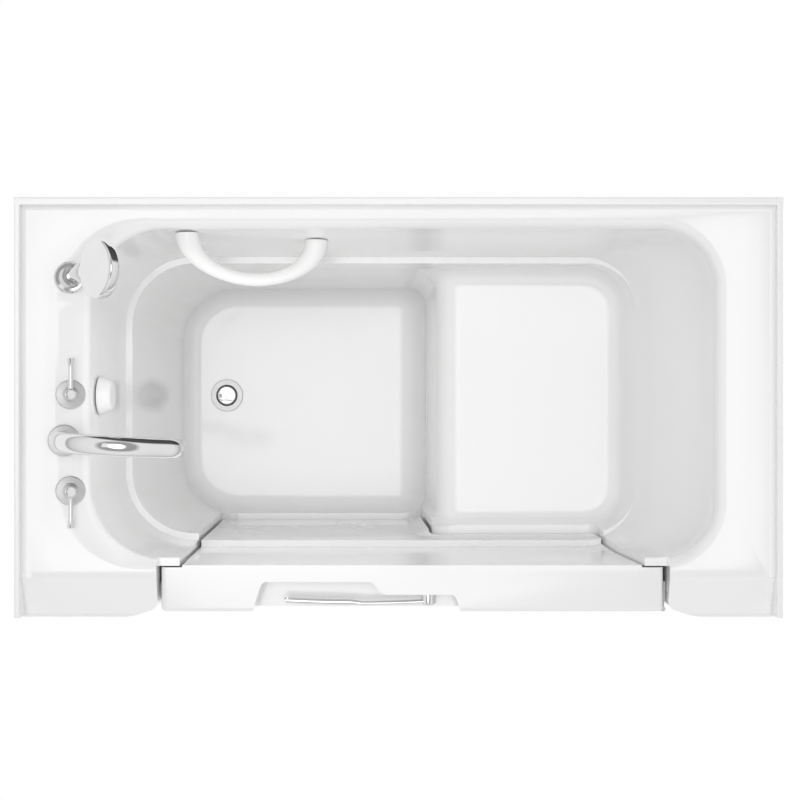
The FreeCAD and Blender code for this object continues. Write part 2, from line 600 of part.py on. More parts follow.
def tub_shell(inside):
    """One moulding: deck, basin, ledge, seat, jamb, land, pillars, skirt and tile flange."""
    deck = box(-END_X, END_X, LAND_Y, SIDE_Y, DECK_Z - WALL, DECK_Z)
    lip_z = DECK_Z - LIP_DROP
    lips = [box(-END_X, -END_X + WALL, LAND_Y, SIDE_Y, lip_z, DECK_Z),
            box(END_X - WALL, END_X, LAND_Y, SIDE_Y, lip_z, DECK_Z),
            box(-END_X, END_X, SIDE_Y - WALL, SIDE_Y, lip_z, DECK_Z)]
    crease = -SIDE_Y + SHOULDER_RUN
    along = V(0, SIDE_Y - crease, 0)
    beads = [flange_bead(FLANGE_BACK, lambda u, v: V(-END_X, SIDE_Y - u, v), V(LENGTH, 0, 0)),
             flange_bead(FLANGE_SIDE, lambda u, v: V(-END_X + u, crease, v), along),
             flange_bead(FLANGE_SIDE, lambda u, v: V(END_X - u, crease, v), along)]
    beads += [flange_fin(side) for side in (-1, 1)]
    pillars = [pillar(side, 0).cut(pillar(side, WALL)) for side in (-1, 1)]

    face, back = DOOR_FRONT_Y, LAND_Y + WALL
    left, right = JAMB_LEFT - WALL, JAMB_RIGHT + WALL
    shelf_z = DOOR_TOP_Z - WALL
    shelves = [box(left, DOOR_LEFT + 2 * OPEN_LAP, LAND_Y, RIM_FRONT, shelf_z, DOOR_TOP_Z),
               box(DOOR_RIGHT - 2 * OPEN_LAP, right, LAND_Y, RIM_FRONT, shelf_z, DOOR_TOP_Z),
               box(left, JAMB_LEFT, LAND_Y, RIM_FRONT, shelf_z, DECK_Z),
               box(JAMB_RIGHT, right, LAND_Y, RIM_FRONT, shelf_z, DECK_Z)]
    land = [box(left, STEP_X + WALL, LAND_Y, back, SILL_Z - WALL, DOOR_TOP_Z),
            box(STEP_X, right, LAND_Y, back, SEAT_SILL_Z - WALL, DOOR_TOP_Z)]
    reveal = opening_block(2 * WALL, DOOR_TOP_Z, LAND_Y, RIM_FRONT + 3 * SOLE_RADIUS)
    skirt = [box(JAMB_LEFT, STEP_X + WALL, face, back, SILL_Z - WALL, SILL_Z),
             box(JAMB_LEFT, STEP_X + WALL, face, face + WALL, SKIRT_Z, SILL_Z),
             box(JAMB_LEFT, JAMB_LEFT + WALL, face, back, SKIRT_Z, SILL_Z),
             box(STEP_X, STEP_X + WALL, face, back, SKIRT_Z, SEAT_SILL_Z),
             box(STEP_X, JAMB_RIGHT, face, back, SEAT_SILL_Z - WALL, SEAT_SILL_Z)]
    rest = face + PANEL_THICK
    rebate = [box(STEP_X, STEP_X + WALL + PANEL_LIP, rest, rest + WALL, SKIRT_Z, SEAT_SILL_Z),
              box(STEP_X, JAMB_RIGHT, rest, rest + WALL, SEAT_SILL_Z - WALL - PANEL_LIP, SEAT_SILL_Z)]

    shell = fuse([basin(WALL), deck] + lips + beads + pillars + shelves + land + [reveal] + skirt + rebate)
    shell = shell.cut(inside)
    shell = shell.cut(opening_block(0, 2 * DECK_Z, -DEPTH, 0))
    shell = shell.cut(box(JAMB_LEFT, JAMB_RIGHT, -DEPTH, RIM_FRONT + SOLE_RADIUS, DOOR_TOP_Z, 2 * DECK_Z))
    corner = box(STEP_X, STEP_X + STEP_ROUND, face, LAND_Y, SEAT_SILL_Z - STEP_ROUND, SEAT_SILL_Z)
    shell = shell.cut(corner.cut(rod(V(STEP_X + STEP_ROUND, face, SEAT_SILL_Z - STEP_ROUND), V(0, 1, 0),
                                     2 * STEP_ROUND, LAND_Y - face)))

    holes = [rod(strip_point(TAP_X, y) - STRIP_UP * 30, STRIP_UP, VALVE_NECK_D + HOLE_CLEAR, 60)
             for y in (HOT_Y, COLD_Y)]
    holes.append(rod(strip_point(SPOUT_X, SPOUT_Y) - STRIP_UP * 30, STRIP_UP, SHANK_D + HOLE_CLEAR, 60))
    holes.append(rod(SHOWER_BASE - V(0, 0, 60), V(0, 0, 1), SHANK_D + HOLE_CLEAR, 120))
    holes.append(rod(OVERFLOW - WALL_OUT * 30, WALL_OUT, OVERFLOW_NECK_D + HOLE_CLEAR, 60))
    holes.append(rod(DRAIN - V(0, 0, 60), V(0, 0, 1), DRAIN_BORE_D + 2 * DRAIN_NECK + HOLE_CLEAR, 120))
    holes += [rod(foot - BAR_OUT * 30, BAR_OUT, STUD_D + HOLE_CLEAR, 60) for foot in BAR_FEET]
    holes += [rod(strip_point(TAP_X, y) - STRIP_UP * ROSE_SEAT, STRIP_UP, ROSE_D + HOLE_CLEAR, LIP_DROP)
              for y in (HOT_Y, COLD_Y)]
    holes += [keeper_slot(z) for z in BOLT_Z]
    holes += [rod(V(x, face, z), V(0, 1, 0), SCREW_D, 60) for x, z in PANEL_SCREWS]
    return shell.cut(Part.makeCompound(holes))


def keeper_slot(z):
    """Square way for a bolt through the left jamb and its keeper plate."""
    half = BOLT_D / 2 + KEEP_CLEAR
    return box(JAMB_LEFT - 2 * WALL, JAMB_LEFT + WALL, BOLT_Y - half, BOLT_Y + half, z - half, z + half)


def access_panel():
    """Removable front panel under the seat, in a rebate of the skirt."""
    panel = box(STEP_X + WALL + PANEL_GAP, JAMB_RIGHT - PANEL_GAP, DOOR_FRONT_Y, DOOR_FRONT_Y + PANEL_THICK,
                SKIRT_Z, SEAT_SILL_Z - WALL - PANEL_GAP)
    edges = [e for e in panel.Edges if e.BoundBox.YMax < DOOR_FRONT_Y + 1e-3]
    panel = panel.makeFillet(PANEL_THICK / 3, edges)
    return panel.cut(Part.makeCompound([rod(V(x, DOOR_FRONT_Y, z), V(0, 1, 0), SCREW_D, 60)
                                        for x, z in PANEL_SCREWS]))


def access_panel_screws():
    """Pan-head screws that hold the access panel."""
    r, head, grip = SCREW_D / 2, SCREW_HEAD_D / 2, PANEL_THICK + WALL
    profile = [(0, 0), (r, 0), (r, grip), (head, grip), (head - 1, grip + 2), (0, grip + 2.6)]
    rear = DOOR_FRONT_Y + grip
    return Part.makeCompound([turned(profile, V(x, rear, z), V(0, -1, 0)) for x, z in PANEL_SCREWS])


def pocket_block(grow):
    """Space of the handle pocket, deep at the grip and shallow at the hub, grown outwards."""
    left, step, right = (-END_X + x for x in (POCKET_LEFT, POCKET_STEP, POCKET_RIGHT))
    front = DOOR_FRONT_Y - POCKET_DEEP
    deep, shallow = DOOR_FRONT_Y + POCKET_DEEP, DOOR_FRONT_Y + POCKET_SHALLOW
    low, top = DOOR_TOP_Z - POCKET_HEIGHT - grow, DOOR_TOP_Z + POCKET_HEIGHT
    body = prism([(left - (deep - front) * POCKET_LEAN - grow, front, 0),
                  (left - grow, deep + grow, POCKET_ROUND + grow),
                  (step + grow, deep + grow, POCKET_ROUND + grow),
                  (step + POCKET_RUN + grow, shallow + grow, POCKET_ROUND - grow),
                  (right + grow, shallow + grow, POCKET_ROUND + grow),
                  (right + (shallow - front) * POCKET_LEAN + grow, front, 0)], plan(low), V(0, 0, top - low))
    sole = [e for e in body.Edges if e.BoundBox.ZMax < low + 1e-3 and e.BoundBox.YMax > front + 1]
    return body.makeFillet(POCKET_SOLE, sole)


def door_outer_panel():
    """Hollow moulded face of the door, open at the back, with the handle pocket."""
    solid = door_block(0, DOOR_FRONT_Y, FLANGE_Y)
    edges = [e for e in solid.Edges if e.BoundBox.YMax < DOOR_FRONT_Y + 1e-3]
    solid = solid.makeFillet(DOOR_EDGE, edges)
    skin = solid.cut(door_block(DOOR_SKIN, DOOR_FRONT_Y + DOOR_SKIN, FLANGE_Y))
    panel = fuse([skin, pocket_block(POCKET_SKIN).common(solid)]).cut(pocket_block(0))
    holes = [rod(V(DOOR_LEFT - 10, BOLT_Y, z), V(1, 0, 0), BOLT_D + 2 * BOLT_CLEAR, 30) for z in BOLT_Z]
    holes.append(rod(V(HUB.x, DOOR_FRONT_Y, HUB.z), V(0, 1, 0), BUSH_D, 2 * POCKET_SHALLOW))
    return panel.cut(Part.makeCompound(holes))


def door_liner(inside):
    """Inner moulding of the door: a flange behind the panel and a hollow plug with the ledge."""
    flange = door_block(0, FLANGE_Y, DOOR_BACK_Y)
    recess = inside.translated(V(0, -DOOR_RECESS, 0))
    recess_skin = inside.translated(V(0, -DOOR_RECESS - DOOR_SKIN, 0))
    plug = opening_block(-DOOR_GAP, DOOR_TOP_Z, FLANGE_Y, RIM_FRONT + 2 * SOLE_RADIUS).cut(recess)
    hollow = opening_block(-DOOR_GAP - DOOR_SKIN, DOOR_TOP_Z - DOOR_SKIN, FLANGE_Y,
                           RIM_FRONT + 2 * SOLE_RADIUS).cut(recess_skin)
    hollow = hollow.cut(recess_skin.translated(V(0, 0, -DOOR_SKIN)))
    groove = seal_ring(0, DOOR_BACK_Y - SEAL_DEPTH + SEAL_GAP - SOFT_CLEAR, LAND_Y)
    return flange.fuse(plug).cut(hollow).cut(groove)


def seal_ring(clear, y0, y1):
    """Band round the plug where the gasket lies, open at the top."""
    inner = -DOOR_GAP + SEAL_MARGIN + clear
    outer = -DOOR_GAP + SEAL_MARGIN + SEAL_WIDTH - clear
    top = DOOR_TOP_Z - 2 * SEAL_WIDTH + clear
    ring = opening_block(outer, top, y0, y1).cut(opening_block(inner, top, y0 - 1, y1 + 1))
    return ring.cut(box(-LENGTH, LENGTH, -DEPTH, DEPTH, DOOR_TOP_Z - 2 * SEAL_WIDTH - clear, 2 * DECK_Z))


def door_gasket():
    """Rubber seal in its groove, meeting the land of the tub."""
    return seal_ring(SOFT_CLEAR / 3, DOOR_BACK_Y - SEAL_DEPTH + SEAL_GAP - SOFT_CLEAR, LAND_Y - SOFT_CLEAR)


def square_tube(start, way, length, size_a, size_b, wall):
    """Rectangular steel tube along X, Y or Z from its low corner."""
    ends = {"x": (length, size_a, size_b), "y": (size_a, length, size_b), "z": (size_a, size_b, length)}[way]
    inner = [(size, 0) if size == length else (size - 2 * wall, wall) for size in ends]
    outer = Part.makeBox(*ends, V(*start))
    hollow = Part.makeBox(*(size for size, _ in inner),
                          V(*(s + shift for s, (_, shift) in zip(start, inner))))
    return outer.cut(hollow)


def door_stiffener():
    """Steel tubes behind the door's face."""
    a, b, wall = STIFF_WIDTH, STIFF_DEPTH, TUBE_WALL
    y = DOOR_FRONT_Y + DOOR_SKIN
    edge = DOOR_SKIN + STIFF_INSET
    left = BOLT_BAR_X + a
    right = DOOR_RIGHT - edge - a
    step = STEP_X - DOOR_GAP_LEFT - edge - a
    low = SILL_Z + DOOR_GAP_LEFT + edge
    seat = SEAT_SILL_Z + DOOR_GAP_LEFT + edge
    rail = DOOR_TOP_Z - POCKET_HEIGHT - 2 * POCKET_SKIN - a
    top = DOOR_TOP_Z - edge
    return Part.makeCompound([
        square_tube((left, y, low + a), "z", rail - low - a, a, b, wall),
        square_tube((left, y, rail), "x", right - left, b, a, wall),
        square_tube((left, y, low), "x", step + a - left, b, a, wall),
        square_tube((step, y, low + a), "z", seat - low - a, a, b, wall),
        square_tube((step, y, seat), "x", right - step, b, a, wall),
        square_tube((right, y, seat), "z", top - seat, a, b, wall)])


def hinge_leaf(door_side):
    """One leaf of the continuous hinge with its knuckles; the other leaf's knuckles are cleared."""
    low = SEAT_SILL_Z + DOOR_GAP_LEFT + HINGE_LOW
    high = DOOR_TOP_Z - HINGE_LOW
    length = (high - low) / HINGE_KNUCKLES
    axis = V(0, 0, 1)
    if door_side:
        x0 = DOOR_RIGHT
    else:
        x0 = JAMB_RIGHT - HINGE_LEAF
    leaf = box(x0, x0 + HINGE_LEAF, HINGE_Y, HINGE_Y + HINGE_LEAF_WIDTH, low, high)
    knuckles = []
    for k in range(HINGE_KNUCKLES):
        base = V(HINGE_X, HINGE_Y, low + k * length)
        if k % 2 == int(door_side):
            knuckles.append(rod(base + axis * (HINGE_GAP / 2), axis, HINGE_BARREL_D, length - HINGE_GAP))
        else:
            leaf = leaf.cut(rod(base - axis * (HINGE_GAP / 2), axis, HINGE_BARREL_D + 2 * HINGE_GAP,
                                length + HINGE_GAP))
    bore = rod(V(HINGE_X, HINGE_Y, low), axis, HINGE_PIN_D + 2 * RUN_CLEAR, high - low)
    return fuse([leaf] + knuckles).cut(bore)


def hinge_pin():
    """Pin through all the knuckles, with a small head on top."""
    low = SEAT_SILL_Z + DOOR_GAP_LEFT + HINGE_LOW
    high = DOOR_TOP_Z - HINGE_LOW
    base = V(HINGE_X, HINGE_Y, low)
    return rod(base, V(0, 0, 1), HINGE_PIN_D, high - low).fuse(
        rod(base + V(0, 0, high - low), V(0, 0, 1), HINGE_BARREL_D, 3))


def latch_handle():
    """Bowed lever with a round hub at its right end and a returned tip."""
    front = DOOR_FRONT_Y + LEVER_PROUD
    rear = DOOR_FRONT_Y + POCKET_SHALLOW - LEVER_CLEAR
    tip = HUB.x - LEVER_REACH
    middle = (tip + HUB.x) / 2
    z = HUB.z - LEVER_HEIGHT / 2
    grip = front + LEVER_THICK + LEVER_BOW
    points = [V(HUB.x, front + LEVER_BOW, z), V(middle, front, z), V(tip, front + LEVER_BOW, z),
              V(tip, grip + LEVER_RETURN, z), V(tip + LEVER_THICK, grip + LEVER_RETURN, z),
              V(tip + LEVER_THICK, grip, z), V(middle, grip, z),
              V(middle + LEVER_THICK, front + LEVER_THICK, z), V(HUB.x, front + LEVER_THICK + LEVER_BOW, z)]
    edges = [Part.Arc(points[0], points[1], points[2]).toShape()]
    ends = points[2:] + points[:1]
    edges += [Part.LineSegment(a, b).toShape() for a, b in zip(ends, ends[1:])]
    lever = Part.Face(Part.Wire(edges)).extrude(V(0, 0, LEVER_HEIGHT))
    long_edges = [e for e in lever.Edges if e.Length > LEVER_REACH * 0.9]
    lever = lever.makeFillet(LEVER_THICK / 4, long_edges)
    hub = rod(V(HUB.x, front, HUB.z), V(0, 1, 0), LEVER_HUB_D, rear - front)
    rim = [e for e in hub.Edges if e.BoundBox.YMax < front + 1e-3]
    return fuse([lever, hub.makeFillet(LEVER_BOW, rim)])


def latch_spindle():
    """Shaft from the lever's hub to the pinion."""
    start = DOOR_FRONT_Y + POCKET_SHALLOW - LEVER_CLEAR
    return rod(V(HUB.x, start, HUB.z), V(0, 1, 0), SPINDLE_D, GEAR_Y + GEAR_WIDTH + 2 - start)


def spindle_bush():
    """Bearing bush of the spindle in the pocket wall."""
    start = V(HUB.x, DOOR_FRONT_Y + POCKET_SHALLOW - LEVER_CLEAR / 2, HUB.z)
    return pipe(start, V(0, 1, 0), BUSH_D, SPINDLE_D + 2 * RUN_CLEAR, GEAR_Y - LEVER_CLEAR / 2 - start.y)


def latch_pinion():
    """Involute spur gear on the spindle; a gap between teeth points straight down."""
    radius = GEAR_MODULE * GEAR_TEETH / 2
    pressure = radians(20)
    base = radius * cos(pressure)
    root, tip = radius - 1.25 * GEAR_MODULE, radius + GEAR_MODULE
    half = pi / (2 * GEAR_TEETH) - GEAR_BACKLASH / 4 / radius + tan(pressure) - pressure

    def flank(rho):
        turn = sqrt(max((rho / base) ** 2 - 1, 0))
        return half - (turn - atan(turn))

    steps = 4
    heights = [root] + [base + (tip - base) * k / steps for k in range(steps + 1)]
    points = []
    for tooth in range(GEAR_TEETH):
        middle = -pi / 2 + (tooth + 0.5) * 2 * pi / GEAR_TEETH
        sides = [(rho, middle - flank(rho)) for rho in heights]
        sides += [(rho, middle + flank(rho)) for rho in reversed(heights)]
        points += [V(HUB.x + rho * cos(a), GEAR_Y, HUB.z + rho * sin(a)) for rho, a in sides]
    gear = Part.Face(Part.makePolygon(points + points[:1])).extrude(V(0, GEAR_WIDTH, 0))
    return gear.cut(rod(V(HUB.x, GEAR_Y, HUB.z), V(0, 1, 0), SPINDLE_D + RUN_CLEAR, GEAR_WIDTH))


def latch_bar():
    """Rack under the pinion, a flat bar behind the pocket and the upright that carries the bolts."""
    pitch = HUB.z - GEAR_MODULE * GEAR_TEETH / 2
    half = pi * GEAR_MODULE / 4 - GEAR_BACKLASH / 4
    lean = tan(radians(20))
    root, crest = pitch - 1.25 * GEAR_MODULE, pitch + GEAR_MODULE
    wide, narrow = half + 1.25 * GEAR_MODULE * lean, half - GEAR_MODULE * lean
    count = int(BOLT_TRAVEL / (pi * GEAR_MODULE)) + 3
    first, last = HUB.x - 2 * pi * GEAR_MODULE, HUB.x + count * pi * GEAR_MODULE
    points = [V(first, GEAR_Y, root)]
    for tooth in range(-1, count):
        x = HUB.x + tooth * pi * GEAR_MODULE
        points += [V(x - wide, GEAR_Y, root), V(x - narrow, GEAR_Y, crest),
                   V(x + narrow, GEAR_Y, crest), V(x + wide, GEAR_Y, root)]
    points += [V(last, GEAR_Y, root), V(last, GEAR_Y, root - BAR_HEIGHT), V(first, GEAR_Y, root - BAR_HEIGHT)]
    rack = Part.Face(Part.makePolygon(points + points[:1])).extrude(V(0, GEAR_WIDTH, 0))
    jog = first - 2 * BAR_THICK
    low = root - BAR_HEIGHT
    upright = BOLT_BAR_X
    return fuse([rack, box(jog, first, GEAR_Y, BAR_Y + BAR_THICK, low, root),
                 box(upright, jog, BAR_Y, BAR_Y + BAR_THICK, low, root),
                 box(upright, upright + BOLT_BAR, BOLT_Y - BAR_THICK, BAR_Y + BAR_THICK, low, root),
                 box(upright, upright + BOLT_BAR, BOLT_Y - BAR_THICK, BOLT_Y + BAR_THICK,
                     BOLT_Z[-1] - BOLT_D, root)])


def latch_bolts():
    """Three round bolts with domed tips on the upright bar."""
    start = DOOR_LEFT + BOLT_HIDE
    length = BOLT_BAR_X - start
    profile = [(0, 0), (BOLT_D / 2, 0), (BOLT_D / 2, length - 3), (BOLT_D / 2 - 3, length), (0, length)]
    return Part.makeCompound([turned(profile, V(BOLT_BAR_X, BOLT_Y, z), V(-1, 0, 0)) for z in BOLT_Z])


def latch_guides():
    """Blocks that carry the bolts at the door's edge, and a staple round the flat bar."""
    inner = DOOR_LEFT + DOOR_SKIN
    blocks = []
    for z in BOLT_Z:
        block = box(inner, inner + BOLT_D, BOLT_Y - BOLT_D, BOLT_Y + BOLT_D, z - BOLT_D, z + BOLT_D)
        blocks.append(block.cut(rod(V(inner, BOLT_Y, z), V(1, 0, 0), BOLT_D + 2 * BOLT_CLEAR, BOLT_D)))
    pocket_back = DOOR_FRONT_Y + POCKET_DEEP + POCKET_SKIN
    x = -END_X + (POCKET_LEFT + POCKET_STEP) / 2
    root = RACK_ROOT_Z
    low = root - BAR_HEIGHT
    staple = box(x - BOLT_D, x + BOLT_D, pocket_back, BAR_Y + 2 * BAR_THICK,
                 low - BAR_THICK, root + BAR_THICK)
    slot = box(x - LENGTH, x + LENGTH, BAR_Y - BOLT_CLEAR, BAR_Y + BAR_THICK + BOLT_CLEAR,
               low - BOLT_CLEAR, root + BOLT_CLEAR)
    return Part.makeCompound(blocks + [staple.cut(slot)])


def strike_plates():
    """Keeper plates on the left jamb, one for each bolt."""
    plates = []
    for z in BOLT_Z:
        plate = box(JAMB_LEFT, JAMB_LEFT + HINGE_LEAF, BOLT_Y - BOLT_D, BOLT_Y + BOLT_D,
                    z - 2 * BOLT_D, z + 2 * BOLT_D)
        plates.append(plate.cut(keeper_slot(z)))
    return Part.makeCompound(plates)


def tap_rose(y):
    """Domed rose of a tap on the strip."""
    r, neck = ROSE_D / 2, VALVE_NECK_D / 2 + HOLE_CLEAR / 2
    profile = [(neck, -ROSE_SEAT), (r, -ROSE_SEAT), (r, ROSE_THICK / 3), (r - 3, ROSE_THICK * 0.8),
               (HUB_D / 2 + 1, ROSE_THICK + 3),
               (neck, ROSE_THICK + 3)]
    return turned(profile, strip_point(TAP_X, y), STRIP_UP)


def tap_lever(y, way):
    """Tap handle: a waisted hub with a thin lever that flares to its end."""
    origin = strip_point(TAP_X, y)
    base = ROSE_THICK + 3 + RUN_GAP
    r, stem = HUB_D / 2, STEM_D / 2 + RUN_CLEAR
    profile = [(stem, base), (r, base), (r - 2.5, base + 8), (r - 2, HUB_HEIGHT - 8), (r - 4, HUB_HEIGHT - 2),
               (r - 8, HUB_HEIGHT), (0, HUB_HEIGHT), (0, STEM_TOP + RUN_GAP), (stem, STEM_TOP + RUN_GAP)]
    hub = turned(profile, origin, STRIP_UP)
    rod_r = LEVER_ROD_D / 2
    arm = turned([(0, r - 4), (rod_r + 1, r - 4), (rod_r, LEVER_LENGTH / 3), (rod_r, LEVER_LENGTH * 0.7),
                  (rod_r + 3, LEVER_LENGTH - 4), (rod_r + 3, LEVER_LENGTH - 1), (rod_r + 2, LEVER_LENGTH),
                  (0, LEVER_LENGTH)], origin + STRIP_UP * STEM_TOP, V(0, way, 0))
    return fuse([hub, arm])


def tap_valve(y):
    """Valve body under the deck with its neck through the strip and its stem."""
    under = -DECK_NORMAL - NUT_THICK
    r, neck, stem = VALVE_D / 2, VALVE_NECK_D / 2, STEM_D / 2
    low = under - VALVE_LENGTH
    profile = [(0, low), (r - 6, low), (r, low + 8), (r, under), (neck, under), (neck, ROSE_THICK),
               (stem, ROSE_THICK), (stem, STEM_TOP), (0, STEM_TOP)]
    return turned(profile, strip_point(TAP_X, y), STRIP_UP)


def deck_nuts(shell):
    """Hexagon nuts under the deck on the two valves, the spout and the shower holder."""
    nuts = []
    for x, y, bore in ((TAP_X, HOT_Y, VALVE_NECK_D), (TAP_X, COLD_Y, VALVE_NECK_D),
                       (SPOUT_X, SPOUT_Y, SHANK_D)):
        start = strip_point(x, y) - STRIP_UP * (DECK_NORMAL + NUT_THICK)
        nuts.append(hexagon(start, STRIP_UP, bore + 12, NUT_THICK, bore + RUN_CLEAR))
    start = V(SHOWER_BASE.x, SHOWER_BASE.y, SHOWER_UNDER_Z - 2 * NUT_THICK)
    nut = hexagon(start, V(0, 0, 1), SHANK_D + 12, 2 * NUT_THICK, SHANK_D + RUN_CLEAR).cut(shell)
    nut = nut.cut(rod(V(start.x, start.y, STRIP_Z - WALL), V(0, 0, 1), SHANK_D + HOLE_CLEAR, LIP_DROP))
    nuts.append(max(nut.Solids, key=lambda solid: solid.Volume))
    return Part.makeCompound(nuts)


def supply_pipes():
    """Hot and cold inlet pipes below the valves."""
    pipes = []
    for y in (HOT_Y, COLD_Y):
        top = strip_point(TAP_X, y) - STRIP_UP * (DECK_NORMAL + NUT_THICK + VALVE_LENGTH)
        length = (top.z - SUPPLY_Z) / STRIP_UP.z
        pipes.append(pipe(top - STRIP_UP * length, STRIP_UP, SUPPLY_D, SUPPLY_D - 2, length))
    return Part.makeCompound(pipes)


def mixing_pipes():
    """Outlet pipes from the two valves to the tee under the spout."""
    level = DECK_NORMAL + NUT_THICK + VALVE_LENGTH / 2
    pipes = []
    for y in (HOT_Y, COLD_Y):
        side = 1 if y > SPOUT_Y else -1
        axis = strip_point(TAP_X, y) - STRIP_UP * level
        end_y = SPOUT_Y + side * TEE_D / 2
        tube = pipe(V(axis.x, end_y, axis.z), V(0, side, 0), SUPPLY_D, SUPPLY_D - 2, abs(axis.y - end_y))
        pipes.append(tube.cut(tap_valve(y)))
    return Part.makeCompound(pipes)


def spout_tee():
    """Tee block where hot and cold meet, screwed on the spout's shank."""
    level = DECK_NORMAL + NUT_THICK + VALVE_LENGTH / 2
    centre = strip_point(TAP_X, SPOUT_Y) - STRIP_UP * level
    shank = strip_point(SPOUT_X, SPOUT_Y)
    block = box(shank.x - TEE_D / 2, shank.x + TEE_D, SPOUT_Y - TEE_D / 2, SPOUT_Y + TEE_D / 2,
                centre.z - TEE_D / 2, centre.z + TEE_D / 2)
    block = block.makeFillet(3, block.Edges)
    return block.cut(rod(shank - STRIP_UP * 200, STRIP_UP, SHANK_D, 200))


def spout_path():
    """Points and directions along the spout: straight rise, then a long arc, then the nose."""
    base = strip_point(SPOUT_X, SPOUT_Y)
    yaw = radians(SPOUT_YAW)
    side = V(cos(yaw), sin(yaw), 0)
    up = V(0, 0, 1)
    rise = base + up * SPOUT_RISE
    centre = rise + side * SPOUT_ARC
    turn = radians(SPOUT_TURN)
    middle = centre - side * (SPOUT_ARC * cos(turn / 2)) + up * (SPOUT_ARC * sin(turn / 2))
    end = centre - side * (SPOUT_ARC * cos(turn)) + up * (SPOUT_ARC * sin(turn))
    nose = end + (side * sin(turn) + up * cos(turn)) * SPOUT_NOSE
    return base, rise, middle, end, nose, side


def spout_tube(width, thick, start_lift):
    """Flattened tube along the spout's path."""
    base, rise, middle, end, nose, side = spout_path()
    first = base + V(0, 0, start_lift)
    path = Part.Wire([Part.LineSegment(first, rise).toShape(), Part.Arc(rise, middle, end).toShape(),
                      Part.LineSegment(end, nose).toShape()])
    across = side.cross(V(0, 0, 1))
    corners = [(s * thick / 2, t * width / 2, thick * 0.45) for s, t in ((-1, -1), (1, -1), (1, 1), (-1, 1))]
    ring = outline(corners, lambda u, v: first + side * u + across * v)
    return path.makePipeShell([ring], True, False)


def spout():
    """Arched bath spout with a hollow way to its mouth and a tip that is round seen from above."""
    body = spout_tube(SPOUT_WIDTH, SPOUT_THICK, SPOUT_ROSE)
    body = body.cut(spout_tube(SPOUT_WIDTH - 2 * SPOUT_WALL, SPOUT_THICK - 2 * SPOUT_WALL, SPOUT_ROSE))
    base, nose, side = (spout_path()[k] for k in (0, 4, 5))
    across = side.cross(V(0, 0, 1))
    reach = (nose - base).dot(side) - SPOUT_THICK / 4
    half = SPOUT_WIDTH / 2
    ends = [(-2 * half, -half - RUN_GAP, 0), (reach, -half - RUN_GAP, half), (reach, half + RUN_GAP, half),
            (-2 * half, half + RUN_GAP, 0)]
    foot = V(base.x, base.y, 0)
    return body.common(prism(ends, lambda u, v: foot + side * u + across * v, V(0, 0, 2 * DECK_Z)))


def spout_rose():
    """Round flange of the spout on the strip, with its threaded shank."""
    base = strip_point(SPOUT_X, SPOUT_Y)
    r, shank = SPOUT_ROSE_D / 2, SHANK_D / 2
    tail = DECK_NORMAL + NUT_THICK + VALVE_LENGTH / 2
    profile = [(shank - 3, -tail), (shank, -tail), (shank, 0), (r, 0), (r, 3), (r - 4, 8),
               (r - 6, SPOUT_ROSE * 2), (shank - 3, SPOUT_ROSE * 2)]
    rose = turned(profile, base, STRIP_UP)
    return rose.cut(box(-LENGTH, LENGTH, -DEPTH, DEPTH, base.z + SPOUT_ROSE, 2 * DECK_Z))


def shower_holder(shell):
    """Leaning cup for the hand shower on a round foot, shaped to the deck under it."""
    r = SPOUT_ROSE_D / 2
    foot = turned([(0, -2 * STRIP_DROP), (r, -2 * STRIP_DROP), (r, 4), (r - 4, 8), (0, 12)],
                  SHOWER_BASE, V(0, 0, 1))
    cup_r = SHOWER_SOCKET_D / 2
    cup = turned([(0, 0), (cup_r + 3, 0), (cup_r, SHOWER_SOCKET_H), (0, SHOWER_SOCKET_H)],
                 SHOWER_BASE, SHOWER_UP)
    cup = cup.common(box(-LENGTH, LENGTH, -DEPTH, DEPTH, DECK_Z - 2 * STRIP_DROP, 2 * DECK_Z))
    low = V(SHOWER_BASE.x, SHOWER_BASE.y, SHOWER_UNDER_Z - 3 * NUT_THICK)
    rise = DECK_Z - low.z
    shank = rod(low, V(0, 0, 1), SHANK_D, rise + RUN_GAP)
    body = fuse([foot, cup]).cut(shell).cut(rod(low, V(0, 0, 1), SHANK_D + HOLE_CLEAR, rise))
    body = max(body.Solids, key=lambda solid: solid.Volume)
    body = fuse([body, shank])
    socket = rod(SHOWER_BASE + SHOWER_UP * SHOWER_SEAT, SHOWER_UP, SHOWER_FOOT_D + 2 * BOLT_CLEAR,
                 SHOWER_SOCKET_H)
    hose_way = rod(V(SHOWER_BASE.x, SHOWER_BASE.y, SHOWER_UNDER_Z - 4 * NUT_THICK), V(0, 0, 1), HOSE_WAY_D,
                   DECK_Z - SHOWER_UNDER_Z + 4 * NUT_THICK + SHOWER_SEAT)
    return body.cut(socket).cut(hose_way)


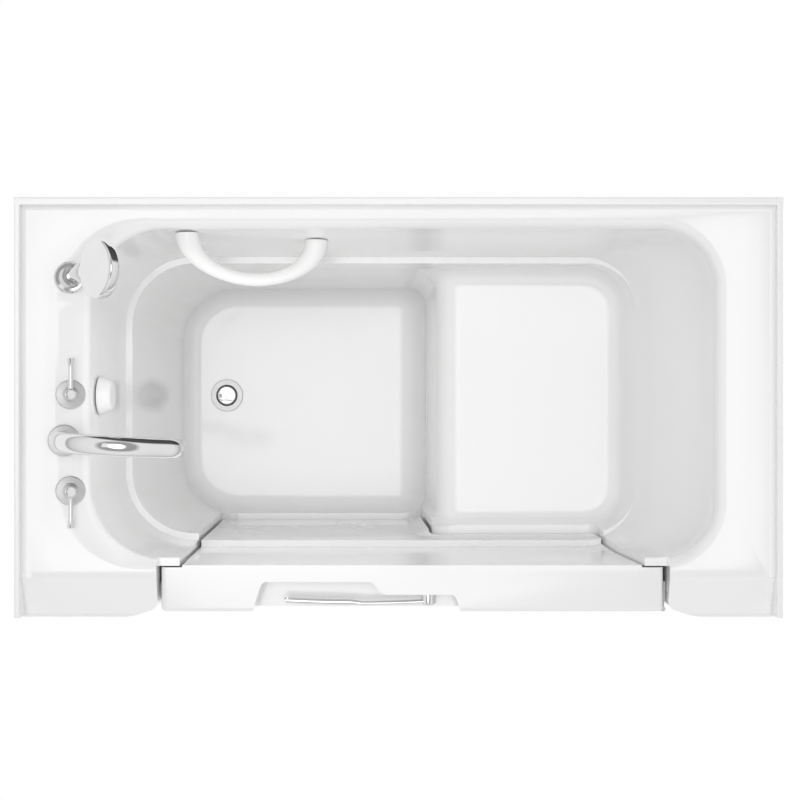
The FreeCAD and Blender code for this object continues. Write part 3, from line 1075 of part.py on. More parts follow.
def shower_head_parts():
    """Hand shower: bent trumpet handle, flat head and spray face."""
    lean = radians(SHOWER_HEAD_LEAN)
    face_way, head_up = V(cos(lean), 0, -sin(lean)), V(sin(lean), 0, cos(lean))
    bend = SHOWER_BASE + SHOWER_UP * SHOWER_BEND
    centre = bend + head_up * SHOWER_HEAD_REACH
    r, back, front = SHOWER_HEAD_D / 2, -SHOWER_HEAD_BACK, SHOWER_HEAD_THICK - SHOWER_HEAD_BACK
    head = turned([(0, back), (r - 4, back), (r - 1, back + 3), (r, back + 12), (r, front - 3),
                   (r - 3, front), (r - 8, front), (r - 8, front - 4), (0, front - 4)], centre, face_way)
    plate = r - 8 - BOLT_CLEAR
    face = turned([(0, front - 4), (plate, front - 4), (plate, front - 1), (r - 16, front), (0, front)],
                  centre, face_way)
    foot_r = SHOWER_FOOT_D / 2
    start = SHOWER_SEAT + BOLT_CLEAR
    stem = turned([(0, start), (foot_r, start), (foot_r, SHOWER_NECK), (0, SHOWER_NECK)],
                  SHOWER_BASE, SHOWER_UP)
    first = SHOWER_BASE + SHOWER_UP * SHOWER_NECK
    last = centre + face_way * ((back + front) / 2)
    wide = V(0, 1, 0)
    rings = []
    for share, half_width, half_depth in SHOWER_FLARE:
        point = first * (1 - share) ** 2 + bend * (2 * share * (1 - share)) + last * share ** 2
        along = (bend - first) * (1 - share) + (last - bend) * share
        ring = Part.Wire(Part.Ellipse(V(0, 0, 0), half_width, half_depth).toShape())
        ring.Placement = FreeCAD.Placement(point, FreeCAD.Rotation(wide, along.cross(wide), along, "ZXY"))
        rings.append(ring)
    flare = Part.makeLoft(rings, True, False)
    hose_way = rod(SHOWER_BASE + SHOWER_UP * start, SHOWER_UP, HOSE_WAY_D, SHOWER_SOCKET_H)
    block = turned([(0, back), (r, back), (r, front), (0, front)], centre, face_way)
    return fuse([stem, flare]).cut(hose_way).cut(block), head, face


def overflow_knob():
    """Turning cover of the overflow, held off the wall so that water can pass behind it."""
    r, stem = KNOB_D / 2, STEM_D / 2 + RUN_CLEAR
    near, far = KNOB_STANDOFF, KNOB_STANDOFF + KNOB_THICK
    tip = KNOB_FRONT_D / 2
    profile = [(stem, near), (r - 1.5, near), (r, near + 1.5), (r - 2, near + 8), (tip + 4, far - 3),
               (tip, far), (0, far), (0, far - KNOB_SKIN), (stem, far - KNOB_SKIN)]
    return turned(profile, OVERFLOW, WALL_OUT)


def overflow_body():
    """Overflow elbow behind the left wall, with its neck through the wall and the knob's stem."""
    neck, stem = OVERFLOW_NECK_D / 2, STEM_D / 2
    far = KNOB_STANDOFF + KNOB_THICK - KNOB_SKIN - RUN_GAP
    deep = -WALL - OVERFLOW_DEEP
    r, back = OVERFLOW_BODY_D / 2, -WALL - RUN_CLEAR
    profile = [(0, deep), (r, deep), (r, back), (neck, back), (neck, NECK_PROUD), (neck - 3, NECK_PROUD),
               (neck - 3, deep + 3), (stem, deep + 3), (stem, far), (0, far)]
    body = turned(profile, OVERFLOW, WALL_OUT)
    top = V(OVERFLOW_PIPE_X, OVERFLOW_Y, OVERFLOW_Z)
    drop = r + OUTLET_DROP
    foot = top - V(0, 0, drop)
    outlet = rod(foot, V(0, 0, 1), WASTE_PIPE_D, drop)
    return fuse([body, outlet]).cut(rod(foot, V(0, 0, 1), WASTE_PIPE_D - 2 * WASTE_WALL, r))


def overflow_pipe():
    """Upright pipe from the overflow elbow to the waste tee."""
    top = OVERFLOW_Z - OVERFLOW_BODY_D / 2 - OUTLET_DROP
    low = WASTE_Z + TEE_REACH
    return pipe(V(OVERFLOW_PIPE_X, OVERFLOW_Y, low), V(0, 0, 1), WASTE_PIPE_D,
                WASTE_PIPE_D - 2 * WASTE_WALL, top - low)


def waste_tee():
    """Tee that joins the drain and the overflow."""
    centre = V(OVERFLOW_PIPE_X, OVERFLOW_Y, WASTE_Z)
    start = centre - V(TEE_REACH, 0, 0)
    outer, inner = WASTE_PIPE_D + 4, WASTE_PIPE_D - 2 * WASTE_WALL
    body = fuse([rod(start, V(1, 0, 0), outer, 2 * TEE_REACH), rod(centre, V(0, 0, 1), outer, TEE_REACH)])
    return body.cut(rod(start, V(1, 0, 0), inner, 2 * TEE_REACH)).cut(
        rod(centre, V(0, 0, 1), inner, TEE_REACH))


def waste_pipe():
    """Level pipe from the drain cup to the tee, with the tail beyond the tee."""
    start = DRAIN.x - DRAIN_CUP_D / 2
    inner = WASTE_PIPE_D - 2 * WASTE_WALL
    near = pipe(V(OVERFLOW_PIPE_X + TEE_REACH, OVERFLOW_Y, WASTE_Z), V(1, 0, 0), WASTE_PIPE_D, inner,
                start - OVERFLOW_PIPE_X - TEE_REACH)
    tail = pipe(V(OVERFLOW_PIPE_X - TEE_REACH - WASTE_TAIL, OVERFLOW_Y, WASTE_Z), V(1, 0, 0), WASTE_PIPE_D,
                inner, WASTE_TAIL)
    return Part.makeCompound([near, tail])


def drain_cup():
    """Drain body clamped under the base board."""
    r = DRAIN_CUP_D / 2
    neck = DRAIN_BORE_D / 2 + DRAIN_NECK + RUN_CLEAR
    top = -WALL - BOARD
    low = WASTE_Z - FLOOR_Z - WASTE_PIPE_D / 2 - WASTE_WALL
    profile = [(0, low), (r, low), (r, top - 4), (r + 6, top - 4), (r + 6, top), (neck, top),
               (neck, low + WASTE_WALL), (0, low + WASTE_WALL)]
    cup = turned(profile, DRAIN, V(0, 0, 1))
    return cup.cut(rod(V(DRAIN.x - r, OVERFLOW_Y, WASTE_Z), V(1, 0, 0), WASTE_PIPE_D - 2 * WASTE_WALL, r))


def drain_flange():
    """Chrome drain flange in the floor with a threaded neck and a guide for the stopper."""
    bore, r = DRAIN_BORE_D / 2, DRAIN_FLANGE_D / 2
    neck = bore + DRAIN_NECK
    low = -WALL - BOARD - DRAIN_TAIL
    profile = [(bore, low), (neck, low), (neck, 0), (r, 0), (r - 2, DRAIN_LIP), (neck + 2, DRAIN_LIP),
               (bore, -2)]
    flange = turned(profile, DRAIN, V(0, 0, 1))
    guide = pipe(DRAIN + V(0, 0, low), V(0, 0, 1), STEM_D + 6, STEM_D + 2 * RUN_CLEAR, GUIDE_HEIGHT)
    arms = []
    for k in range(3):
        arm = box(STEM_D / 2 + 2, bore + 1, -1.5, 1.5, low, low + GUIDE_HEIGHT)
        arm.rotate(V(0, 0, 0), V(0, 0, 1), 120 * k)
        arm.translate(DRAIN)
        arms.append(arm)
    return fuse([flange, guide] + arms)


def drain_stopper():
    """Domed stopper with its guide stem."""
    r, stem = STOPPER_D / 2, STEM_D / 2
    seat = DRAIN_LIP + SOFT_CLEAR
    low = seat - STOPPER_STEM
    profile = [(0, low), (stem, low), (stem, seat), (r, seat), (r, seat + 2), (r - 4, seat + 4.5),
               (r * 0.4, seat + 6), (0, seat + 6)]
    return turned(profile, DRAIN, V(0, 0, 1))


def grab_bar(inside):
    """Bowed bar with flared feet on the back wall, cut to the wall's slope."""
    first, last = BAR_FEET
    chord = last - first
    middle = (first + last) * 0.5
    square = chord.cross(V(0, 1, 0)).normalize()
    sections = []
    for k in range(-1, BAR_STEPS + 2):
        angle = pi * min(max(k, 0), BAR_STEPS) / BAR_STEPS
        behind = BAR_END_D if k in (-1, BAR_STEPS + 1) else 0.0
        point = middle - chord * (cos(angle) / 2) + V(0, behind - BAR_BOW * sin(angle), 0)
        along = chord * (sin(angle) / 2) - V(0, BAR_BOW * cos(angle), 0)
        size = BAR_MID_D + (BAR_END_D - BAR_MID_D) * cos(angle) ** 4
        ring = Part.Wire(Part.makeCircle(size / 2))
        ring.Placement = FreeCAD.Placement(point, FreeCAD.Rotation(square, along.cross(square), along, "ZXY"))
        sections.append(ring)
    bar = Part.makeLoft(sections, True, False).common(inside)
    return bar.cut(Part.makeCompound([rod(foot - BAR_OUT * STUD_IN, BAR_OUT, STUD_D + RUN_CLEAR, 2 * STUD_IN)
                                      for foot in BAR_FEET]))


def grab_bar_studs():
    """Threaded studs of the grab bar through the wall."""
    return Part.makeCompound([rod(foot - BAR_OUT * STUD_IN, BAR_OUT, STUD_D, STUD_IN + WALL + 2 * NUT_THICK)
                              for foot in BAR_FEET])


def grab_bar_nuts(shell):
    """Washer-faced nuts behind the wall, faced to its slope."""
    return Part.makeCompound([hexagon(foot + BAR_OUT * BAR_WALL, BAR_OUT, NUT_SIZE, NUT_THICK,
                                      STUD_D + RUN_CLEAR).cut(shell) for foot in BAR_FEET])


def frame_rails():
    """Floor rails: two long tubes under the base board between three cross tubes."""
    tubes = []
    for x in CROSS_X:
        tubes.append(square_tube((x, FRAME_FRONT, RAIL_Z), "y", FRAME_BACK - FRAME_FRONT, TUBE, TUBE,
                                 TUBE_WALL))
    for y in LONG_Y:
        for a, b in zip(CROSS_X, CROSS_X[1:]):
            tubes.append(square_tube((a + TUBE, y, RAIL_Z), "x", b - a - TUBE, TUBE, TUBE, TUBE_WALL))
    return Part.makeCompound(tubes)


def frame_posts():
    """Upright tubes from the cross rails to the deck bearers."""
    low = RAIL_Z + TUBE
    top = DECK_Z - WALL - TUBE
    posts = [square_tube((x, FRAME_BACK - TUBE, low), "z", top - low, TUBE, TUBE, TUBE_WALL) for x in CROSS_X]
    posts += [square_tube((x, POST_FRONT, low), "z", top - low, TUBE, TUBE, TUBE_WALL) for x in CROSS_X[::2]]
    return Part.makeCompound(posts)


def deck_bearers(shell):
    """Tubes right under the deck at the back and both ends, relieved where the rim's underside comes down."""
    z = DECK_Z - WALL - TUBE
    span = CROSS_X[-1] + TUBE - CROSS_X[0]
    bearers = [square_tube((CROSS_X[0], FRAME_BACK - TUBE, z), "x", span, TUBE, TUBE, TUBE_WALL).cut(shell)]
    run = FRAME_BACK - TUBE - POST_FRONT
    for x in CROSS_X[::2]:
        bearers.append(square_tube((x, POST_FRONT, z), "y", run, TUBE, TUBE, TUBE_WALL).cut(shell))
    return Part.makeCompound(bearers)


def seat_supports():
    """Legs and bearers under the seat, standing on the long rails."""
    low = RAIL_Z + TUBE
    top = SEAT_Z - WALL - TUBE
    tubes = []
    for x in SEAT_LEG_X:
        for y in LONG_Y:
            tubes.append(square_tube((x, y, low), "z", top - low, TUBE, TUBE, TUBE_WALL))
        tubes.append(square_tube((x, LONG_Y[0], top), "y", LONG_Y[1] + TUBE - LONG_Y[0], TUBE, TUBE,
                                 TUBE_WALL))
    return Part.makeCompound(tubes)


def base_board():
    """Plywood board bonded under the flat of the footwell."""
    left, front, back = lower_wall(FLOOR_Z - WALL, WALL)
    inset = SOLE_RADIUS + WALL
    right = riser_x(FLOOR_Z, 0) - RISER_FOOT_RADIUS
    board = box(left + inset, right, front + inset, back - inset, FLOOR_Z - WALL - BOARD, FLOOR_Z - WALL)
    return board.cut(rod(DRAIN - V(0, 0, 60), V(0, 0, 1), DRAIN_BORE_D + 2 * DRAIN_NECK + HOLE_CLEAR, 120))


def foot_places():
    """Centres of the levelling feet under the ends of the cross rails."""
    return [V(x + TUBE / 2, y, 0) for x in CROSS_X for y in (FRAME_FRONT + TUBE, FRAME_BACK - TUBE)]


def levelling_feet():
    """Pads with threaded studs up to the rails."""
    r = FOOT_D / 2
    profile = [(0, 0), (r, 0), (r, FOOT_PAD * 0.6), (FOOT_STUD_D, FOOT_PAD), (FOOT_STUD_D / 2, FOOT_PAD),
               (FOOT_STUD_D / 2, RAIL_Z), (0, RAIL_Z)]
    return Part.makeCompound([turned(profile, place, V(0, 0, 1)) for place in foot_places()])


def foot_lock_nuts():
    """Lock nuts against the underside of the rails."""
    return Part.makeCompound([hexagon(place + V(0, 0, RAIL_Z - NUT_THICK), V(0, 0, 1), NUT_SIZE, NUT_THICK,
                                      FOOT_STUD_D + RUN_CLEAR) for place in foot_places()])


def main():
    """Build every piece and write one file for each."""
    os.makedirs("parts", exist_ok=True)
    inside = basin(0)
    shell = tub_shell(inside)
    handle, head, spray = shower_head_parts()
    pieces = {
        "tub_shell": shell,
        "access_panel": access_panel(),
        "access_panel_screws": access_panel_screws(),
        "base_board": base_board(),
        "frame_rails": frame_rails(),
        "frame_posts": frame_posts(),
        "deck_bearers": deck_bearers(shell),
        "seat_supports": seat_supports(),
        "levelling_feet": levelling_feet(),
        "foot_lock_nuts": foot_lock_nuts(),
        "door_outer_panel": door_outer_panel(),
        "door_liner": door_liner(inside),
        "door_gasket": door_gasket(),
        "door_stiffener": door_stiffener(),
        "hinge_door_leaf": hinge_leaf(True),
        "hinge_jamb_leaf": hinge_leaf(False),
        "hinge_pin": hinge_pin(),
        "latch_handle": latch_handle(),
        "latch_spindle": latch_spindle(),
        "spindle_bush": spindle_bush(),
        "latch_pinion": latch_pinion(),
        "latch_bar": latch_bar(),
        "latch_bolts": latch_bolts(),
        "latch_guides": latch_guides(),
        "strike_plates": strike_plates(),
        "tap_roses": Part.makeCompound([tap_rose(HOT_Y), tap_rose(COLD_Y)]),
        "hot_lever": tap_lever(HOT_Y, 1),
        "cold_lever": tap_lever(COLD_Y, -1),
        "tap_valves": Part.makeCompound([tap_valve(HOT_Y), tap_valve(COLD_Y)]),
        "deck_nuts": deck_nuts(shell),
        "supply_pipes": supply_pipes(),
        "mixing_pipes": mixing_pipes(),
        "spout_tee": spout_tee(),
        "spout": spout(),
        "spout_rose": spout_rose(),
        "shower_holder": shower_holder(shell),
        "shower_handle": handle,
        "shower_head": head,
        "shower_spray_face": spray,
        "overflow_knob": overflow_knob(),
        "overflow_body": overflow_body(),
        "overflow_pipe": overflow_pipe(),
        "waste_tee": waste_tee(),
        "waste_pipes": waste_pipe(),
        "drain_cup": drain_cup(),
        "drain_flange": drain_flange(),
        "drain_stopper": drain_stopper(),
        "grab_bar": grab_bar(inside),
        "grab_bar_studs": grab_bar_studs(),
        "grab_bar_nuts": grab_bar_nuts(shell),
    }
    for name, shape in pieces.items():
        state = "valid" if shape.isValid() else "NOT VALID"
        print(name, len(shape.Solids), "solid", state, round(shape.Volume / 1000, 1))
        shape.exportStep("parts/" + name + ".step")


main()
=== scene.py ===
import json

import bmesh
import bpy
import numpy as np
from mathutils import Matrix


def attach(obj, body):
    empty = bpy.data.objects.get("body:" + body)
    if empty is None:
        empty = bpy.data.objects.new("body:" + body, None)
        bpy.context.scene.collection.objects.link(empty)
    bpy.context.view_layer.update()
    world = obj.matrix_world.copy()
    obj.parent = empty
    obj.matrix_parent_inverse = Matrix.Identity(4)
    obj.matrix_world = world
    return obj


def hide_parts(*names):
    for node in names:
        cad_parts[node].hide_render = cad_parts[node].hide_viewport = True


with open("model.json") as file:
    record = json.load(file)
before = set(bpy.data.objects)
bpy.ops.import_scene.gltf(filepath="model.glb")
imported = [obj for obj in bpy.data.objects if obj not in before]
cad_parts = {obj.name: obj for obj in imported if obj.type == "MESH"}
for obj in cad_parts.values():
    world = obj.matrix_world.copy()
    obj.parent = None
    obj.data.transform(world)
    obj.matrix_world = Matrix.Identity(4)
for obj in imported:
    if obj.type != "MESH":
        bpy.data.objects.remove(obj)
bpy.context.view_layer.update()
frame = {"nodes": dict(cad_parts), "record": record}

# %% [markdown]
# A walk-in bathtub, seen straight from above. The imported model gives every solid piece in its
# place, in metres, with +X along the tub from the taps to the seat, +Y from the door to the back
# wall and +Z up. This lesson dresses those pieces: smooth skins for the mouldings, finer surfaces
# for the chrome, and a finish for each material.

# %% Slots and bodies of the model's nodes
slot_of = {part["node"]: part["material_slot"] for part in frame["record"]["subparts"]}
body_of = {}
for body_name, nodes in frame["record"]["behaviour"]["bodies"].items():
    body_of.update(dict.fromkeys(nodes, body_name))

# %% [markdown]
# Every finish is a small tree of shader nodes. Wiring them one by one is long and hard to read, so
# a small class wraps a socket and lets plain Python sums make the Math nodes. One method makes any
# other node: its settings come first, then the values or links of its sockets.

# %% A socket that can be added and multiplied


class Flow:
    """A shader socket; sums with numbers or other sockets add Math nodes to its tree."""

    def __init__(self, tree, socket):
        self.tree, self.socket = tree, socket

    def node(self, kind, settings=None, out=0, **inputs):
        """Add a node, set its settings, then fill its sockets; underscores stand for spaces."""
        made = self.tree.nodes.new(kind)
        for key, value in (settings or {}).items():
            if key == "stops":
                ramp = made.color_ramp.elements
                for _ in value[2:]:
                    ramp.new(0.5)
                for element, (place, grey) in zip(ramp, value):
                    element.position, element.color = place, (grey, grey, grey, 1.0)
            else:
                setattr(made, key, value)
        for key, value in inputs.items():
            name = key.replace("_", " ")
            numbered = name[0] == "i" and name[1:].isdigit()
            target = made.inputs[int(name[1:]) if numbered else name]
            if isinstance(value, Flow):
                self.tree.links.new(value.socket, target)
            else:
                target.default_value = value
        return Flow(self.tree, made.outputs[out])

    def maths(self, operation, first, second):
        """One Math node on two values."""
        return self.node("ShaderNodeMath", {"operation": operation}, i0=first, i1=second)

    def __add__(self, other):
        return self.maths("ADD", self, other)

    def __sub__(self, other):
        return self.maths("SUBTRACT", self, other)

    def __rsub__(self, other):
        return self.maths("SUBTRACT", other, self)

    def __mul__(self, other):
        return self.maths("MULTIPLY", self, other)

    __radd__ = __add__
    __rmul__ = __mul__


def finish(name, colour, **constants):
    """A new Principled material, the flow of its object coordinates and its shader node."""
    material = bpy.data.materials.new(name)
    material.use_nodes = True
    tree = material.node_tree
    shader = tree.nodes["Principled BSDF"]
    shader.inputs["Base Color"].default_value = (*colour, 1.0)
    for key, value in constants.items():
        shader.inputs[key.replace("_", " ")].default_value = value
    place = tree.nodes.new("ShaderNodeTexCoord").outputs["Object"]
    return material, Flow(tree, place), shader


def lead(flow, socket):
    """Link a worked-out value to a shader's socket."""
    flow.tree.links.new(flow.socket, socket)


def cloud(place, scale, detail=3.0, stretch=(1.0, 1.0, 1.0)):
    """Noise from 0 to 1 on object coordinates, stretched along an axis if asked."""
    spread = place.node("ShaderNodeMapping", Vector=place, Scale=stretch)
    return place.node("ShaderNodeTexNoise", Vector=spread, Scale=scale, Detail=detail)


def tint(place, factor, dark, light):
    """A colour between two, by a factor from 0 to 1."""
    ends = {"i6": (*dark, 1.0), "i7": (*light, 1.0)}
    return place.node("ShaderNodeMix", {"data_type": "RGBA"}, out=2, i0=factor, **ends)


def relief(place, height, strength, distance):
    """A bump from a height, with the depth in metres."""
    return place.node("ShaderNodeBump", Strength=strength, Distance=distance, Height=height)


print("shader helpers ready")

# %% [markdown]
# The tub itself is white gelcoat on a fibre-backed shell. It is a glossy, hard skin, so broad faces
# mirror the lamps while the body stays a soft white. A real moulding is never quite even: the gloss
# wanders a little and a very fine ripple, like orange peel, breaks the mirror image. Both come from
# noise; the colour hardly changes.

# %% White gelcoat and white plastic
gelcoat, place, shader = finish("gelcoat_white", (0.9, 0.9, 0.9), Coat_Roughness=0.05, IOR=1.5)
mottle = cloud(place, 3.0, 2.0)
lead(tint(place, mottle, (0.92, 0.92, 0.919), (0.94, 0.94, 0.939)), shader.inputs["Base Color"])
lead(0.13 + 0.07 * cloud(place, 9.0, 4.0), shader.inputs["Roughness"])
lead(0.75 + 0.15 * cloud(place, 5.0, 2.0), shader.inputs["Coat Weight"])
lead(relief(place, cloud(place, 140.0, 1.0), 0.05, 0.0002), shader.inputs["Normal"])

white_plastic, place, shader = finish("white_moulded_plastic", (0.87, 0.87, 0.865), IOR=1.48)
lead(tint(place, cloud(place, 8.0), (0.85, 0.85, 0.847), (0.885, 0.885, 0.88)), shader.inputs["Base Color"])
lead(0.2 + 0.1 * cloud(place, 30.0, 4.0), shader.inputs["Roughness"])
lead(relief(place, cloud(place, 900.0, 2.0), 0.06, 0.0001), shader.inputs["Normal"])
print("made", gelcoat.name, white_plastic.name)

# %% [markdown]
# Chrome is a mirror, so its look comes from what is round it. Only its gloss varies: faint wiping
# marks and water haze make some patches a touch duller. The drain flange and the roses have a satin
# face. Brushed stainless steel has the same kind of map stretched along one axis, so that the fine
# scratches run in lines.

# %% Chrome, stainless steel, zinc and brass
chrome, place, shader = finish("polished_chrome", (0.8, 0.8, 0.803), Metallic=1.0)
haze = cloud(place, 22.0, 5.0)
lead(tint(place, haze, (0.77, 0.77, 0.773), (0.83, 0.83, 0.833)), shader.inputs["Base Color"])
lead(0.035 + 0.07 * haze, shader.inputs["Roughness"])

satin_chrome, place, shader = finish("satin_chrome", (0.72, 0.72, 0.73), Metallic=1.0)
worn = cloud(place, 70.0, 4.0)
lead(tint(place, worn, (0.69, 0.69, 0.695), (0.76, 0.76, 0.765)), shader.inputs["Base Color"])
lead(0.34 + 0.1 * worn, shader.inputs["Roughness"])

stainless, place, shader = finish("brushed_stainless", (0.6, 0.6, 0.61), Metallic=1.0)
lines = cloud(place, 60.0, 4.0, (40.0, 40.0, 1.0))
lead(tint(place, lines, (0.5, 0.5, 0.51), (0.68, 0.68, 0.69)), shader.inputs["Base Color"])
lead(0.24 + 0.2 * lines, shader.inputs["Roughness"])
lead(relief(place, lines, 0.15, 0.0001), shader.inputs["Normal"])

zinc, place, shader = finish("zinc_plated", (0.58, 0.59, 0.58), Metallic=1.0)
spangle = place.node("ShaderNodeTexVoronoi", {"feature": "F1"}, out=0, Vector=place, Scale=260.0)
lead(tint(place, spangle, (0.5, 0.51, 0.49), (0.68, 0.69, 0.67)), shader.inputs["Base Color"])
lead(0.28 + 0.3 * cloud(place, 120.0), shader.inputs["Roughness"])

brass, place, shader = finish("plain_brass", (0.66, 0.5, 0.24), Metallic=1.0)
dull = cloud(place, 45.0, 5.0)
lead(tint(place, dull, (0.45, 0.31, 0.13), (0.72, 0.56, 0.29)), shader.inputs["Base Color"])
lead(0.22 + 0.3 * dull, shader.inputs["Roughness"])
print("made", chrome.name, satin_chrome.name, stainless.name, zinc.name, brass.name)

# %% [markdown]
# Under the deck nobody polishes anything. The frame has a grey powder coat with a fine pebble, the
# board is raw plywood with long grain, the pipes are plain white plastic with a satin skin, and the
# seal and bearings are dark. These show only from the back and from below, but they are seen there.
# The plain plastics and the rubber share one recipe, coarse noise in the colour and fine in the gloss.

# %% Frame coat, plywood, pipe, rubber and bearing plastic


def mottled(name, colour, dark, light, coarse, gloss, swing, fine):
    """A plain finish: its colour lies between two by coarse noise, its gloss wanders by fine noise."""
    material, place, shader = finish(name, colour)
    lead(tint(place, cloud(place, coarse), dark, light), shader.inputs["Base Color"])
    lead(gloss + swing * cloud(place, fine), shader.inputs["Roughness"])
    return material


coat, place, shader = finish("grey_powder_coat", (0.3, 0.31, 0.33))
pebble = cloud(place, 420.0, 2.0)
lead(tint(place, cloud(place, 6.0), (0.27, 0.28, 0.3), (0.34, 0.35, 0.37)), shader.inputs["Base Color"])
lead(0.42 + 0.2 * pebble, shader.inputs["Roughness"])
lead(relief(place, pebble, 0.25, 0.0003), shader.inputs["Normal"])

plywood, place, shader = finish("raw_plywood", (0.62, 0.46, 0.29))
grain = cloud(place, 5.0, 6.0, (2.0, 22.0, 40.0))
lead(tint(place, grain, (0.46, 0.31, 0.17), (0.72, 0.57, 0.38)), shader.inputs["Base Color"])
lead(0.65 + 0.2 * grain, shader.inputs["Roughness"])
lead(relief(place, grain, 0.3, 0.0006), shader.inputs["Normal"])

pipe_white = mottled("pipe_white", (0.8, 0.8, 0.78), (0.76, 0.76, 0.73), (0.84, 0.84, 0.82),
                     14.0, 0.38, 0.14, 60.0)
rubber = mottled("seal_rubber", (0.05, 0.05, 0.052), (0.04, 0.04, 0.042), (0.075, 0.075, 0.078),
                 40.0, 0.6, 0.2, 90.0)
bearing = mottled("bearing_plastic", (0.06, 0.06, 0.06), (0.05, 0.05, 0.05), (0.09, 0.09, 0.09),
                  50.0, 0.4, 0.15, 80.0)
spray_grey = mottled("spray_plate_grey", (0.5, 0.5, 0.51), (0.46, 0.46, 0.47), (0.55, 0.55, 0.56),
                     60.0, 0.32, 0.15, 150.0)

paint = {"gelcoat": gelcoat, "white_plastic": white_plastic, "chrome": chrome, "spray_plastic": spray_grey,
         "stainless": stainless, "frame_steel": coat, "zinc": zinc, "board": plywood, "seal": rubber,
         "brass": brass, "pipe_plastic": pipe_white, "bush": bearing}
for node, obj in frame["nodes"].items():
    obj.data.materials.clear()
    obj.data.materials.append(paint[slot_of[node]])
print("finishes", len(paint), "nodes painted", len(frame["nodes"]))

# %% [markdown]
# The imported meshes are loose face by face, so a curved moulding shows a seam at each face border.
# A merged copy, smoothed up to an angle, carries one even shine over the rounded parts and keeps the
# true edges crisp. The copy stands for its node; the node stays for contact.

# %% Smooth skins over the solid pieces
SHARP = np.radians(32.0)
MERGE, SLIVER = 2e-6, 1e-7


def dress(mesh, name, slot, body, *nodes):
    """Make the mesh a piece at the origin: merged, facing out, smooth, painted and riding on a body."""
    work = bmesh.new()
    work.from_mesh(mesh)
    bmesh.ops.remove_doubles(work, verts=work.verts, dist=MERGE)
    bmesh.ops.dissolve_degenerate(work, edges=work.edges, dist=SLIVER)
    bmesh.ops.recalc_face_normals(work, faces=work.faces)
    work.to_mesh(mesh)
    work.free()
    mesh.shade_smooth()
    mesh.set_sharp_from_angle(angle=SHARP)
    mesh.materials.clear()
    mesh.materials.append(paint[slot])
    piece = bpy.data.objects.new(name, mesh)
    bpy.context.scene.collection.objects.link(piece)
    if nodes:
        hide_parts(*nodes)
    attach(piece, body)
    return piece


def copy_of(node):
    """A merged, smoothed copy of a solid piece, in its place."""
    source = frame["nodes"][node]
    mesh = source.data.copy()
    mesh.transform(source.matrix_world)
    if mesh.has_custom_normals:
        mesh.attributes.remove(mesh.attributes["custom_normal"])
    return dress(mesh, node + "_skin", slot_of[node], body_of[node], node)


smooth_nodes = ["tub_shell", "door_outer_panel", "door_liner", "access_panel", "shower_holder",
                "overflow_body", "overflow_pipe", "waste_tee", "waste_pipes", "drain_cup", "drain_flange",
                "tap_valves", "supply_pipes", "mixing_pipes", "spout_tee", "levelling_feet",
                "hinge_door_leaf", "hinge_jamb_leaf", "latch_bolts"]
skins = {node: copy_of(node) for node in smooth_nodes}
skins["drain_flange"].data.materials[0] = satin_chrome
print("smooth skins", len(skins))

# %% [markdown]
# The fittings are turned, drawn and cast, so their surfaces follow a few rules: a profile carried
# round an axis, or a section carried along a path. Both are grids of points, worked out as whole
# arrays. A soft profile replaces each corner by a short curve, because polished metal has no sharp
# edges, and every edge then catches a line of light.

# %% Surfaces from profiles and paths
SIDE_SHARE = 0.45


def unit(vector):
    """The vector with length one."""
    vector = np.asarray(vector, float)
    return vector / np.linalg.norm(vector)


def across(axis):
    """Two unit vectors square to an axis and to each other."""
    axis = unit(axis)
    helper = np.array([0.0, 1.0, 0.0]) if abs(axis[1]) < 0.9 else np.array([1.0, 0.0, 0.0])
    first = unit(np.cross(helper, axis))
    return first, np.cross(axis, first)


def soft(corners, radius, steps=5):
    """Profile with rounded corners: each corner C becomes (1-t)^2 A + 2t(1-t) C + t^2 B.

    A and B lie at the radius from C along its two sides, or nearer where a side is short.
    """
    corners = np.asarray(corners, float)
    before, after = corners[:-2] - corners[1:-1], corners[2:] - corners[1:-1]
    reach_a = np.minimum(radius, SIDE_SHARE * np.linalg.norm(before, axis=1))[:, None]
    reach_b = np.minimum(radius, SIDE_SHARE * np.linalg.norm(after, axis=1))[:, None]
    start = corners[1:-1] + before / np.linalg.norm(before, axis=1)[:, None] * reach_a
    end = corners[1:-1] + after / np.linalg.norm(after, axis=1)[:, None] * reach_b
    t = np.linspace(0, 1, steps)[None, :, None]
    bends = (1 - t) ** 2 * start[:, None] + 2 * t * (1 - t) * corners[1:-1, None] + t ** 2 * end[:, None]
    return np.vstack([corners[:1], bends.reshape(-1, 2), corners[-1:]])


def grid_mesh(name, points):
    """Mesh of four-sided faces over P[i, j], with the last column joined to the first."""
    rows, columns = points.shape[:2]
    i, j = np.meshgrid(np.arange(rows - 1), np.arange(columns), indexing="ij")
    k = (j + 1) % columns
    low, high = i * columns, (i + 1) * columns
    faces = np.stack([low + j, low + k, high + k, high + j], axis=-1)
    mesh = bpy.data.meshes.new(name)
    mesh.from_pydata(points.reshape(-1, 3).tolist(), [], faces.reshape(-1, 4).tolist())
    return mesh


def turned(profile, origin, axis, steps=96):
    """Surface of revolution: P = O + h*axis + r*(cos t * a + sin t * b) for each profile row (r, h)."""
    profile = np.asarray(profile, float)
    a, b = across(axis)
    t = np.linspace(0, 2 * np.pi, steps, endpoint=False)
    ring = np.cos(t)[:, None] * a + np.sin(t)[:, None] * b
    radius, height = profile[:, 0][:, None, None], profile[:, 1][:, None, None]
    return np.asarray(origin) + height * unit(axis) + radius * ring


def oval(power, steps):
    """Cosine and sine of a rounded oval: the 2/power-th powers of a circle's, with their signs."""
    t = np.linspace(0, 2 * np.pi, steps, endpoint=False)
    c, s = np.cos(t), np.sin(t)
    return np.sign(c) * np.abs(c) ** (2 / power), np.sign(s) * np.abs(s) ** (2 / power)


